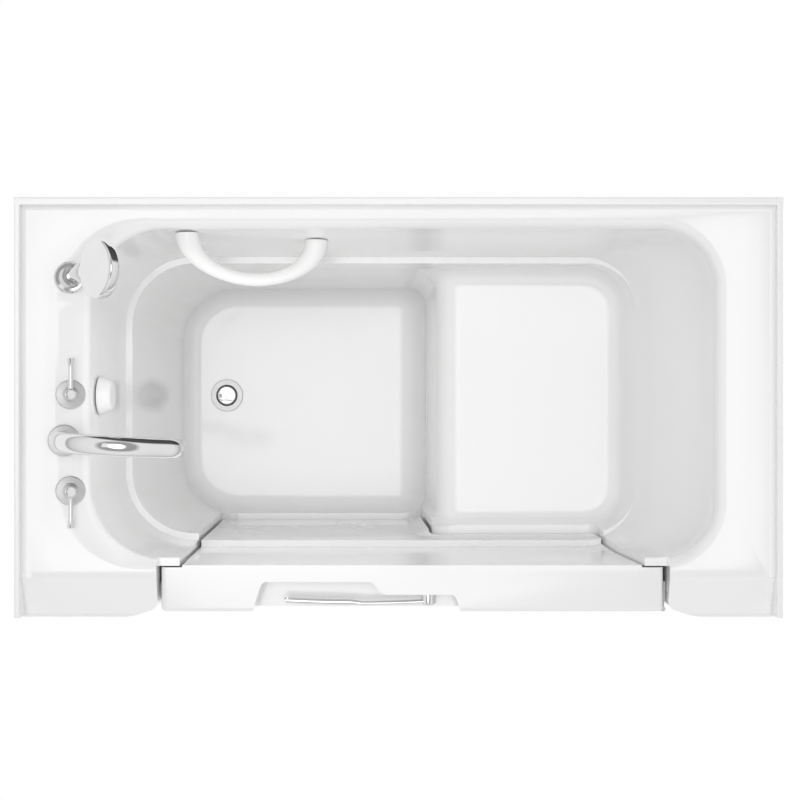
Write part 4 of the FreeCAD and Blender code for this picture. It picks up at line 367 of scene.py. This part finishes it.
def swept(path, wide, thick, side, power=2.0, steps=64):
    """Section carried along a path: P = C + wide*c*S + thick*s*N, with c and s of a rounded oval.

    S is the fixed side vector, N is square to S and to the path, and power 2 is a plain ellipse.
    """
    path = np.asarray(path, float)
    way = np.gradient(path, axis=0)
    normal = np.cross(side, way)
    normal /= np.linalg.norm(normal, axis=1)[:, None]
    c, s = oval(power, steps)
    wide = np.broadcast_to(wide, len(path))[:, None, None]
    thick = np.broadcast_to(thick, len(path))[:, None, None]
    sideways = wide * c[None, :, None] * np.asarray(side)
    return path[:, None] + sideways + thick * s[None, :, None] * normal[:, None]


def joined(name, grids):
    """One mesh from several closed grids."""
    work = bmesh.new()
    for grid in grids:
        part = grid_mesh(name, grid)
        work.from_mesh(part)
        bpy.data.meshes.remove(part)
    mesh = bpy.data.meshes.new(name)
    work.to_mesh(mesh)
    work.free()
    return mesh


print("surface helpers ready")

# %% [markdown]
# The left deck falls by twelve degrees towards the basin, and the taps and the spout stand square
# to that slope. One function gives a point on the slope, so that each fitting takes its foot from
# it. The spout rises, bends over in one wide arc and ends in a short straight nose; its section is
# a flat oval. Seen from above the nose ends in a half circle, so every line along it stops at its own
# length. The lip then turns inwards and leaves the mouth open. A thin round flange with a hollow shank
# holds the foot.

# %% Arched spout and its flange
STRIP_TILT = np.radians(12.0)
STRIP_UP = np.array([np.sin(STRIP_TILT), 0.0, np.cos(STRIP_TILT)])
STRIP_FOOT = np.array([-0.63276, 0.0, 0.954])


def on_strip(x, y):
    """Point of the sloping strip over (x, y)."""
    return np.array([x, y, STRIP_FOOT[2] + (STRIP_FOOT[0] - x) * np.tan(STRIP_TILT)])


SPOUT_X, SPOUT_Y, SPOUT_YAW = -0.667, -0.0627, np.radians(-3.0)
SPOUT_START, SPOUT_RISE, SPOUT_NOSE = 0.002, 0.042, 0.080
SPOUT_ARC, SPOUT_TURN = 0.130, np.radians(120.0)
HALF_WIDE, HALF_THICK, MOUTH_WALL, MOUTH_DEEP = 0.0195, 0.012, 0.003, 0.03
SPOUT_POWER, SPOUT_STEPS, FLANGE_STEPS = 2.15, 96, 112
FALL_FROM, FALL_RUN = 0.66, 0.34
NOSE_ROWS, NOSE_SPAN, NOSE_PULL = 26, 0.94, 0.0009
spout_foot = on_strip(SPOUT_X, SPOUT_Y)
spout_out = np.array([np.cos(SPOUT_YAW), np.sin(SPOUT_YAW), 0.0])
up = np.array([0.0, 0.0, 1.0])
spout_side = np.cross(spout_out, up)
rise = spout_foot + up * np.linspace(SPOUT_START, SPOUT_RISE, 6)[:-1, None]
turn = np.linspace(0, SPOUT_TURN, 56)[:, None]
centre = spout_foot + up * SPOUT_RISE + spout_out * SPOUT_ARC
arc = centre - spout_out * SPOUT_ARC * np.cos(turn) + up * SPOUT_ARC * np.sin(turn)
nose_way = spout_out * np.sin(SPOUT_TURN) + up * np.cos(SPOUT_TURN)
nose_up = np.cross(spout_side, nose_way)
tube = swept(np.vstack([rise, arc]), HALF_WIDE, HALF_THICK, spout_side, SPOUT_POWER, SPOUT_STEPS)
nose_reach = SPOUT_NOSE * np.sin(SPOUT_TURN) - HALF_THICK / 2


def nose_rows(inset, pull, share=1.0):
    """Rows of the nose: each point runs along the nose to a half circle seen from above, less a pull.

    The half circle has the spout's half width W, so the reach at a side offset y is
    R - W + sqrt(W^2 - y^2). A share below one stops the row before the end, and over the last third
    the upper half falls like a quarter of an ellipse, sqrt(1 - u^2).
    """
    c, sn = oval(SPOUT_POWER, SPOUT_STEPS)
    share = np.atleast_1d(share)[:, None]
    fall = np.sqrt(1 - np.clip((share - FALL_FROM) / FALL_RUN, 0, 1) ** 2)
    y, z = (HALF_WIDE - inset) * c, (HALF_THICK - inset) * sn * np.where(sn > 0, fall, 1.0)
    edge = nose_reach - HALF_WIDE + np.sqrt(HALF_WIDE ** 2 - y ** 2)
    run = share * ((edge - z * (nose_up @ spout_out)) / (nose_way @ spout_out) - pull)
    sideways = (y[:, None] * spout_side)[None]
    return arc[-1] + run[..., None] * nose_way + sideways + z[..., None] * nose_up


LIP_ROWS = ((0.0003, 0.0002), (0.0012, 0.0), (MOUTH_WALL - 0.0008, 0.0), (MOUTH_WALL, 0.0008),
            (MOUTH_WALL, MOUTH_DEEP))
shares = 1.0 - NOSE_SPAN * np.linspace(1.0, 0.0, NOSE_ROWS) ** 2
lip = [nose_rows(0.0, NOSE_PULL, shares)] + [nose_rows(inset, pull) for inset, pull in LIP_ROWS]
mouth_end = lip[-1].mean(axis=1, keepdims=True) + 0 * lip[-1]
base_cap = tube[:1].mean(axis=1, keepdims=True) + 0 * tube[:1]
arch = grid_mesh("spout_arch", np.concatenate([base_cap, tube, *lip, mouth_end]))
spout = dress(arch, "spout_arch", "chrome", "tub", "spout")
flange_rows = soft([(0.0, 0.004), (0.008, 0.004), (0.008, -0.0363), (0.011, -0.0363), (0.011, 0.0),
                    (0.032, 0.0), (0.032, 0.003), (0.0300, 0.0058), (0.0, 0.0061)], 0.0012)
flange = grid_mesh("spout_flange", turned(flange_rows, spout_foot, STRIP_UP, FLANGE_STEPS))
flange = dress(flange, "spout_flange", "chrome", "tub", "spout_rose")
flange.data.materials[0] = satin_chrome
print("spout", len(spout.data.polygons), "faces, tip at", np.round(lip[2].mean(axis=(0, 1)), 3).tolist())

# %% [markdown]
# Each tap has a thin flat rose, a waisted hub and one thin lever that flares at its end. On the real
# tap hub and lever are a single casting, so both surfaces go into one piece. The hub is turned about
# the strip's own upright, then its top is sheared level, h - x tan(tilt), so that it mirrors the
# light overhead; the lever is a round section whose width follows its length.

# %% Taps and their roses
TAP_X, HOT_Y, COLD_Y = -0.6545, 0.029, -0.163
HUB_BASE, LEVEL_FROM, LEVEL_RUN = 0.0095, 0.036, 0.004
TAP_HUB = ((0.0, HUB_BASE), (0.0135, HUB_BASE), (0.0135, 0.014), (0.0112, 0.0185), (0.0114, 0.034),
           (0.0105, 0.0405), (0.0088, 0.0414), (0.0, 0.0416))
TAP_ROSE = ((0.0103, -0.0006), (0.0295, -0.0006), (0.0295, 0.0020), (0.0280, 0.0046), (0.0150, 0.0048),
            (0.0146, 0.0088), (0.0103, 0.0088), (0.0103, -0.0006))
ROD_HEIGHT, ROD_FROM, ROD_TO, ROD_CAP = 0.032, 0.008, 0.072, 0.0005
ROD_RADIUS, ROD_FLAT, ROOT_SWELL, ROOT_FADE = 0.0044, 0.92, 0.0012, 9
FLARE, FLARE_FROM, FLARE_RUN, FLARE_POWER = 0.0030, 0.66, 0.34, 1.6


def tap(name, node, body, y, way):
    """Hub and lever of one tap; way is the lever's direction along Y."""
    foot = on_strip(TAP_X, y)
    hub = soft(TAP_HUB, 0.003)
    hub_rows = turned(hub, foot, STRIP_UP)
    top = np.clip((hub[:, 1] - LEVEL_FROM) / LEVEL_RUN, 0, 1)[:, None]
    hub_rows += (top * (hub_rows - foot)[..., 0] * -np.tan(STRIP_TILT))[..., None] * STRIP_UP
    along = np.array([0.0, way, 0.0])
    s = np.concatenate([[ROD_FROM], np.linspace(ROD_FROM + ROD_CAP, ROD_TO - ROD_CAP, 40), [ROD_TO]])
    share = (s - s[0]) / (s[-1] - s[0])
    flare = FLARE * np.clip((share - FLARE_FROM) / FLARE_RUN, 0, 1) ** FLARE_POWER
    girth = ROD_RADIUS + ROOT_SWELL * np.exp(-share * ROOT_FADE) + flare
    girth[0] = girth[-1] = 0.0
    line = foot + STRIP_UP * ROD_HEIGHT + s[:, None] * along
    lever = swept(line, girth, girth * ROD_FLAT, np.array([1.0, 0.0, 0.0]), steps=40)
    return dress(joined(name, [hub_rows, lever]), name, "chrome", body, node)


hot = tap("hot_tap_lever", "hot_lever", "hot_tap", HOT_Y, 1.0)
cold = tap("cold_tap_lever", "cold_lever", "cold_tap", COLD_Y, -1.0)
rose = soft(TAP_ROSE, 0.0012)
plates = [turned(rose, on_strip(TAP_X, y), STRIP_UP, FLANGE_STEPS) for y in (HOT_Y, COLD_Y)]
roses = dress(joined("tap_rose_plates", plates), "tap_rose_plates", "chrome", "tub", "tap_roses")
roses.data.materials[0] = satin_chrome
print("taps", [len(o.data.polygons) for o in (hot, cold, roses)], "faces")

# %% [markdown]
# The hand shower is a bent trumpet: a round stem that spreads into a flat disc. The stem is turned.
# The spread is an oval carried along a quadratic curve, (1-t)^2 A + 2t(1-t) B + t^2 C, and its half
# width is a cubic fitted through five stations while it grows thin. The disc is turned about its face.
# The spray plate lies in the front with rings of small soft nozzles; each nozzle is the same little
# dome, copied to all its places in one array.

# %% Hand shower
LEAN, HEAD_LEAN = np.radians(17.0), np.radians(42.0)
NECK_UP, BEND_UP, HEAD_REACH, FAN_BEHIND = 0.062, 0.1625, 0.080, 0.0036
FAN_TO, FAN_CAP = 0.88, 0.004
FAN_STATIONS, FAN_HALF_WIDTHS = (0.0, 0.25, 0.5, 0.7, 0.85), (0.0120, 0.0150, 0.0250, 0.0400, 0.0520)
FAN_HALF_THICK = (0.0119, 0.0098)
NOZZLE_RINGS = ((0.010, 6), (0.019, 12), (0.028, 18), (0.037, 24))
shower_up = np.array([np.sin(LEAN), 0.0, np.cos(LEAN)])
head_up = np.array([np.sin(HEAD_LEAN), 0.0, np.cos(HEAD_LEAN)])
shower_face = np.array([np.cos(HEAD_LEAN), 0.0, -np.sin(HEAD_LEAN)])
shower_foot = np.array([-0.6535, 0.262, 0.965])
bend = shower_foot + shower_up * BEND_UP
head_mid = bend + head_up * HEAD_REACH
stem = soft([(0.0, 0.0145), (0.012, 0.0145), (0.012, 0.064), (0.0, 0.070)], 0.004)
t = np.concatenate([[-FAN_CAP], np.linspace(0.0, FAN_TO, 72), [FAN_TO + FAN_CAP]])
first, last = shower_foot + shower_up * NECK_UP, head_mid - shower_face * FAN_BEHIND
line = (1 - t[:, None]) ** 2 * first + 2 * (t * (1 - t))[:, None] * bend + t[:, None] ** 2 * last
spread = np.polyval(np.polyfit(FAN_STATIONS, FAN_HALF_WIDTHS, 3), t)
flat = np.interp(t, (FAN_STATIONS[0], FAN_STATIONS[-1]), FAN_HALF_THICK)
spread[0] = flat[0] = spread[-1] = flat[-1] = 0.0
fan = swept(line, spread, flat, np.array([0.0, 1.0, 0.0]), steps=96)
handle = dress(joined("shower_stem", [turned(stem, shower_foot, shower_up), fan]), "shower_stem", "chrome",
               "hand_shower", "shower_handle")
disc = soft([(0.0, -0.0136), (0.0528, -0.0136), (0.0560, -0.0110), (0.0575, -0.002), (0.0575, 0.0035),
             (0.0545, 0.0063), (0.0505, 0.0063), (0.0495, 0.0024), (0.0, 0.0024)], 0.003)
head = dress(grid_mesh("shower_disc", turned(disc, head_mid, shower_face, 128)), "shower_disc", "chrome",
             "hand_shower", "shower_head")
plate = soft([(0.0, 0.0024), (0.0488, 0.0024), (0.0488, 0.0050), (0.042, 0.0060), (0.0, 0.0058)], 0.0012)
spots = np.concatenate([[[r * np.cos(2 * np.pi * k / n), r * np.sin(2 * np.pi * k / n)] for k in range(n)]
                        for r, n in NOZZLE_RINGS])
a, b = across(shower_face)
nozzle_rows = soft([(0.0019, 0.0057), (0.0016, 0.0063), (0.0, 0.0064)], 0.0004, 3)
nozzle = turned(nozzle_rows, head_mid, shower_face, 12)
nozzles = [nozzle + u * a + v * b for u, v in spots]
spray = dress(joined("shower_plate", [turned(plate, head_mid, shower_face, 96)] + nozzles), "shower_plate",
              "spray_plastic", "hand_shower", "shower_spray_face")
print("hand shower", [len(o.data.polygons) for o in (handle, head, spray)], "faces,", len(spots), "nozzles")

# %% [markdown]
# The overflow cover is a white turning cone held a little off the wall, so that water can pass
# behind it. The stopper of the drain is a very low dome. Both are turned, each from its own profile with
# soft corners.

# %% Overflow knob and drain stopper
LEFT_DRAFT = 0.052
wall_out = unit([1.0, 0.0, LEFT_DRAFT])
overflow = np.array([-0.61494, 0.027, 0.868])
knob_rows = soft([(0.0046, 0.0027), (0.0392, 0.0027), (0.0404, 0.0040), (0.0385, 0.0105), (0.0310, 0.0265),
                  (0.0265, 0.0293), (0.0, 0.0294)], 0.004, 7)
knob = dress(grid_mesh("overflow_cover", turned(knob_rows, overflow, wall_out, 128)), "overflow_cover",
             "white_plastic", "overflow_dial", "overflow_knob")

drain = np.array([-0.4345, 0.0296, 0.110])
plug_rows = soft([(0.0, -0.0372), (0.0045, -0.0372), (0.0045, 0.0028), (0.023, 0.0028), (0.023, 0.0052),
                  (0.0215, 0.0070), (0.0, 0.0078)], 0.0016)
plug = dress(grid_mesh("drain_plug", turned(plug_rows, drain, up, 112)), "drain_plug", "chrome", "stopper",
             "drain_stopper")
print("overflow and drain", [len(o.data.polygons) for o in (knob, plug)], "faces")

# %% [markdown]
# The grab bar bows out from the back wall and swells into broad feet. Its middle line is half an
# ellipse, so it leaves the wall squarely: the point at an angle is M - C cos/2 - bow sin, with C from
# foot to foot. The round section grows with the fourth power of the cosine, so that the bar stays
# slim where a hand closes on it. What would pass the leaning wall is pressed flat just inside it.

# %% Grab bar
feet = np.array([[-0.429, 0.3575, 0.900], [-0.171, 0.3507, 0.820]])
BOW, MID_R, FOOT_R = 0.088, 0.0138, 0.0243
WALL_TOP_Y, WALL_TOP_Z, BACK_DRAFT, SEAT_IN = 0.3606, 0.93639, 0.085, 0.002
chord = feet[1] - feet[0]
angle = np.linspace(0.0, np.pi, 121)
bow_way = np.array([0.0, BOW, 0.0])
line = feet.mean(axis=0) - chord * np.cos(angle)[:, None] / 2 - bow_way * np.sin(angle)[:, None]
girth = MID_R + (FOOT_R - MID_R) * np.cos(angle) ** 4
bar_side = unit(np.cross(chord, [0.0, 1.0, 0.0]))
rows = swept(line, girth, girth, bar_side, steps=72)
wall_y = WALL_TOP_Y - (WALL_TOP_Z - rows[..., 2]) * BACK_DRAFT
rows[..., 1] = np.minimum(rows[..., 1], wall_y + SEAT_IN)
ends = [rows[0].mean(axis=0) + 0 * rows[:1], rows, rows[-1].mean(axis=0) + 0 * rows[:1]]
bar = dress(grid_mesh("grab_rail", np.concatenate(ends)), "grab_rail", "white_plastic", "tub", "grab_bar")
print("grab bar", len(bar.data.polygons), "faces")

# %% [markdown]
# The latch lever lies in the pocket of the door. Its front is bowed a little, the half away from the
# hub is thicker for the fingers, and its end returns towards the pocket. A round hub sits over the
# spindle. The lever is a squared oval along a bowed line; the hub is turned about the spindle.

# %% Latch lever
hub_mid = np.array([0.061, 0.0, 0.887])
FRONT_Y, HUB_BACK_Y = -0.4003, -0.3758
GRIP_LONG, GRIP_CAP, GRIP_BOW, GRIP_POWER = 0.292, 0.0005, 0.004, 3.2
HALF_THIN, HALF_EXTRA, STEP_RATE = 0.0045, 0.002, 60
HALF_TALL, TALL_LOSS = 0.013, 0.001
TIP_REACH, TIP_FRONT_Y, TIP_DEEP, TIP_POWER, TIP_ROWS = 0.2870, -0.3925, 0.0097, 5.0, 10
TIP_HALF_TALL, TIP_HALF_LONG = 0.0115, 0.0042
s = np.concatenate([[0.0], np.linspace(GRIP_CAP, GRIP_LONG - GRIP_CAP, 80), [GRIP_LONG]])
share = s / s[-1]
front = FRONT_Y + GRIP_BOW * (2 * share - 1) ** 2
thick = HALF_THIN + HALF_EXTRA / (1 + np.exp(-(share - 0.5) * STEP_RATE))
thick[0] = thick[-1] = 0.0
tall = HALF_TALL - TALL_LOSS * share
tall[0] = tall[-1] = 0.0
middle_y = front + HALF_THIN + (thick - HALF_THIN).clip(0)
line = np.stack([hub_mid[0] - s, middle_y, np.full_like(s, hub_mid[2])], axis=1)
lever = swept(line, tall, thick, up, GRIP_POWER, steps=56)
hub_deep = HUB_BACK_Y - FRONT_Y
hub_rows = soft([(0.0, 0.0), (0.0135, 0.0), (0.016, 0.0025), (0.016, hub_deep), (0.0, hub_deep)], 0.002)
hub = turned(hub_rows, [hub_mid[0], FRONT_Y, hub_mid[2]], [0.0, 1.0, 0.0])
tip_s = np.linspace(0, 1, TIP_ROWS)
tip_size = np.where((tip_s == 0) | (tip_s == 1), 0.0, 1.0)
tip_y = TIP_FRONT_Y + TIP_DEEP * tip_s
tip_x = np.full(TIP_ROWS, hub_mid[0] - TIP_REACH)
tip_line = np.stack([tip_x, tip_y, np.full(TIP_ROWS, hub_mid[2])], axis=1)
tip = swept(tip_line, TIP_HALF_TALL * tip_size, TIP_HALF_LONG * tip_size, up, TIP_POWER, steps=40)
grip = dress(joined("latch_grip", [lever, hub, tip]), "latch_grip", "chrome", "latch_lever", "latch_handle")
print("latch lever", len(grip.data.polygons), "faces")

# %% [markdown]
# Small fasteners finish the hardware: countersunk screws hold both hinge leaves and the keeper
# plates. One head with a cross slot is a low dome whose height dips along two bars; the copies are
# placed by adding an array of positions.

# %% Screws in the hinge leaves and the keepers
LEAF_LOW_Z, LEAF_HIGH_Z, LEAF_MARGIN, LEAF_SCREWS = 0.548, 0.894, 0.038, 5
JAMB_LEAF, DOOR_LEAF = (0.539, -0.362), (0.536, -0.370)
KEEPER_X, KEEPER_Y, KEEPER_Z = -0.481, -0.3676, (0.8646, 0.5846, 0.3046)
KEEPER_DY, KEEPER_DZ, KEEPER_HEAD, LEAF_HEAD = 0.009, 0.021, 0.0032, 0.0042
DOME, SLOT_DEEP, SLOT_HALF, SLOT_REACH, HEAD_EDGE = 0.0007, 0.0006, 0.11, 0.62, 0.0006


def screw_heads(name, spots, axis, body, size):
    """Domed heads with a cross recess: h = H*(1 - r^2/R^2) less a dip where |u| or |v| is small."""
    a, b = across(axis)
    r = np.linspace(1.0, 0.0, 14)[:, None]
    t = np.linspace(0, 2 * np.pi, 48, endpoint=False)[None, :]
    u, v = r * np.cos(t), r * np.sin(t)
    slot = ((np.minimum(np.abs(u), np.abs(v)) < SLOT_HALF) & (r < SLOT_REACH)).astype(float)
    height = DOME * (1 - r ** 2) - SLOT_DEEP * slot
    head = size * (u[..., None] * a + v[..., None] * b) + height[..., None] * unit(axis)
    rim = head[:1] - HEAD_EDGE * unit(axis)
    shape = np.concatenate([rim.mean(axis=1, keepdims=True) + 0 * rim, rim, head])
    grids = [shape + np.asarray(spot) for spot in spots]
    return dress(joined(name, grids), name, "stainless", body)


levels = np.linspace(LEAF_LOW_Z + LEAF_MARGIN, LEAF_HIGH_Z - LEAF_MARGIN, LEAF_SCREWS)
jamb_spots = [(*JAMB_LEAF, z) for z in levels]
door_spots = [(*DOOR_LEAF, z) for z in levels]
plate_spots = [(KEEPER_X, KEEPER_Y + side * KEEPER_DY, z - side * KEEPER_DZ) for z in KEEPER_Z
               for side in (-1, 1)]
screw_heads("hinge_screws", jamb_spots, [-1.0, 0.0, 0.0], "tub", LEAF_HEAD)
screw_heads("keeper_screws", plate_spots, [1.0, 0.0, 0.0], "tub", KEEPER_HEAD)
screw_heads("door_leaf_screws", door_spots, [1.0, 0.0, 0.0], "door", LEAF_HEAD)
print("screws", len(jamb_spots) + len(plate_spots) + len(door_spots))

# %% [markdown]
# The picture is a cut-out on white, taken from straight above. The floor is a pale plane that shows
# as white to the camera and in mirrors, and still takes a little of the object's shadow.

# %% Floor
FLOOR_HALF, FLOOR_Z, FLOOR_GREY, FLOOR_GLOW, GLOW_SHARE = 9.0, -0.0005, 0.85, 1.04, 0.9
floor_paint = bpy.data.materials.new("studio_floor")
floor_paint.use_nodes = True
tree = floor_paint.node_tree
tree.nodes.clear()
rays = tree.nodes.new("ShaderNodeLightPath")
seen = Flow(tree, rays.outputs["Is Camera Ray"])
bounced = seen.maths("MAXIMUM", Flow(tree, rays.outputs["Is Glossy Ray"]),
                     Flow(tree, rays.outputs["Is Transmission Ray"]))
shown = seen.maths("MAXIMUM", seen, bounced)
plain = seen.node("ShaderNodeBsdfDiffuse", Color=(FLOOR_GREY, FLOOR_GREY, FLOOR_GREY, 1.0))
glow = seen.node("ShaderNodeEmission", Color=(1.0, 1.0, 1.0, 1.0), Strength=FLOOR_GLOW)
mixed = seen.node("ShaderNodeMixShader", i0=GLOW_SHARE * shown, i1=plain, i2=glow)
output = tree.nodes.new("ShaderNodeOutputMaterial")
lead(mixed, output.inputs["Surface"])
corner = np.array([[-1, -1], [1, -1], [1, 1], [-1, 1]]) * FLOOR_HALF
floor_mesh = bpy.data.meshes.new("studio_floor")
floor_mesh.from_pydata([(x, y, FLOOR_Z) for x, y in corner.tolist()], [], [(0, 1, 2, 3)])
floor_mesh.materials.append(floor_paint)
floor = bpy.data.objects.new("studio_floor", floor_mesh)
bpy.context.scene.collection.objects.link(floor)
print("floor", 2 * FLOOR_HALF, "m wide")

# %% [markdown]
# The dome has two ramps over its height: one for the rays that light the tub, bright low down so that
# the walls of the basin fill, and one for mirrored rays, with a bright patch overhead and a grey ring
# round it. Mirrored rays also find a dark side towards the back, which gives the chrome its contrast.

# %% Sky
SKY_LIGHT = ((0.0, 0.5), (0.2, 1.0), (0.45, 1.0), (0.65, 0.45), (1.0, 0.35))
SKY_MIRROR = ((0.0, 0.26), (0.15, 0.38), (0.5, 0.45), (0.80, 0.47), (0.88, 0.2), (0.968, 0.2),
              (0.984, 1.0))
LIGHT_LEVEL, MIRROR_LEVEL, MIRROR_TILT = 0.95, 2.0, 0.06
DARK_NORTH, DARK_EAST, DARK_FROM, DARK_TO, DARK_SHARE = 0.9, 0.3, 0.52, 0.64, 0.9
world = bpy.data.worlds.new("studio_sky")
world.use_nodes = True
bpy.context.scene.world = world
tree = world.node_tree
tree.nodes.clear()
way = Flow(tree, tree.nodes.new("ShaderNodeTexCoord").outputs["Generated"])
east, north, height = (way.node("ShaderNodeSeparateXYZ", out=k, Vector=way) for k in range(3))
lighting = way.node("ShaderNodeValToRGB", {"stops": SKY_LIGHT}, Fac=height)
mirrored = way.node("ShaderNodeValToRGB", {"stops": SKY_MIRROR}, Fac=height - MIRROR_TILT * east)
side = DARK_NORTH * north + DARK_EAST * east
flag = way.node("ShaderNodeMapRange", Value=side, From_Min=DARK_FROM, From_Max=DARK_TO)
mirror = Flow(tree, tree.nodes.new("ShaderNodeLightPath").outputs["Is Glossy Ray"])
reflected = MIRROR_LEVEL * mirrored * mirror * (1.0 - DARK_SHARE * flag)
level = LIGHT_LEVEL * lighting * (1.0 - mirror) + reflected
dome = way.node("ShaderNodeBackground", Color=(1.0, 1.0, 1.0, 1.0), Strength=level)
lead(dome, tree.nodes.new("ShaderNodeOutputWorld").inputs["Surface"])
print("sky ramps", len(SKY_LIGHT), "and", len(SKY_MIRROR), "stops")

# %% [markdown]
# Two large soft lamps add to the dome, one high on the left and one overhead. A weak card over the
# footwell fills its shadow. The overhead lamp and the card stay out of the picture and its mirrors. The
# camera looks straight down from about four metres.

# %% Lamps and camera


def soft_lamp(name, place, aim, size, watts):
    """A square lamp that faces a point."""
    light = bpy.data.lights.new(name, "AREA")
    light.shape, light.size, light.energy = "SQUARE", size, watts
    lamp = bpy.data.objects.new(name, light)
    bpy.context.scene.collection.objects.link(lamp)
    forward = unit(np.asarray(aim, float) - np.asarray(place, float))
    right = unit(np.cross(forward, up)) if abs(forward[2]) < 0.999 else np.array([1.0, 0.0, 0.0])
    turn = np.stack([right, np.cross(right, forward), -forward], axis=1)
    lamp.matrix_world = Matrix.Translation(place) @ Matrix(turn.tolist()).to_4x4()
    return lamp


soft_lamp("left_box", (-1.7, 0.2, 5.0), (-0.4, 0.0, 0.9), 1.5, 4.0)
ceiling = soft_lamp("ceiling_light", (0.0, 0.0, 12.0), (0.0, 0.0, 0.0), 5.0, 445.0)
fill = soft_lamp("basin_fill", (-0.3, 0.02, 1.0), (-0.3, 0.02, 0.0), 0.55, 0.44)
for lamp in (ceiling, fill):
    lamp.visible_glossy = lamp.visible_camera = False

CAMERA, LENS, SENSOR = (0.003, 0.018, 4.136), 71.64, 36.0
camera_data = bpy.data.cameras.new("overhead_camera")
camera_data.sensor_width, camera_data.lens = SENSOR, LENS
camera = bpy.data.objects.new("overhead_camera", camera_data)
camera.location = CAMERA
bpy.context.scene.collection.objects.link(camera)
bpy.context.scene.camera = camera
bpy.context.scene.view_settings.view_transform = "Standard"
print("camera at", CAMERA)
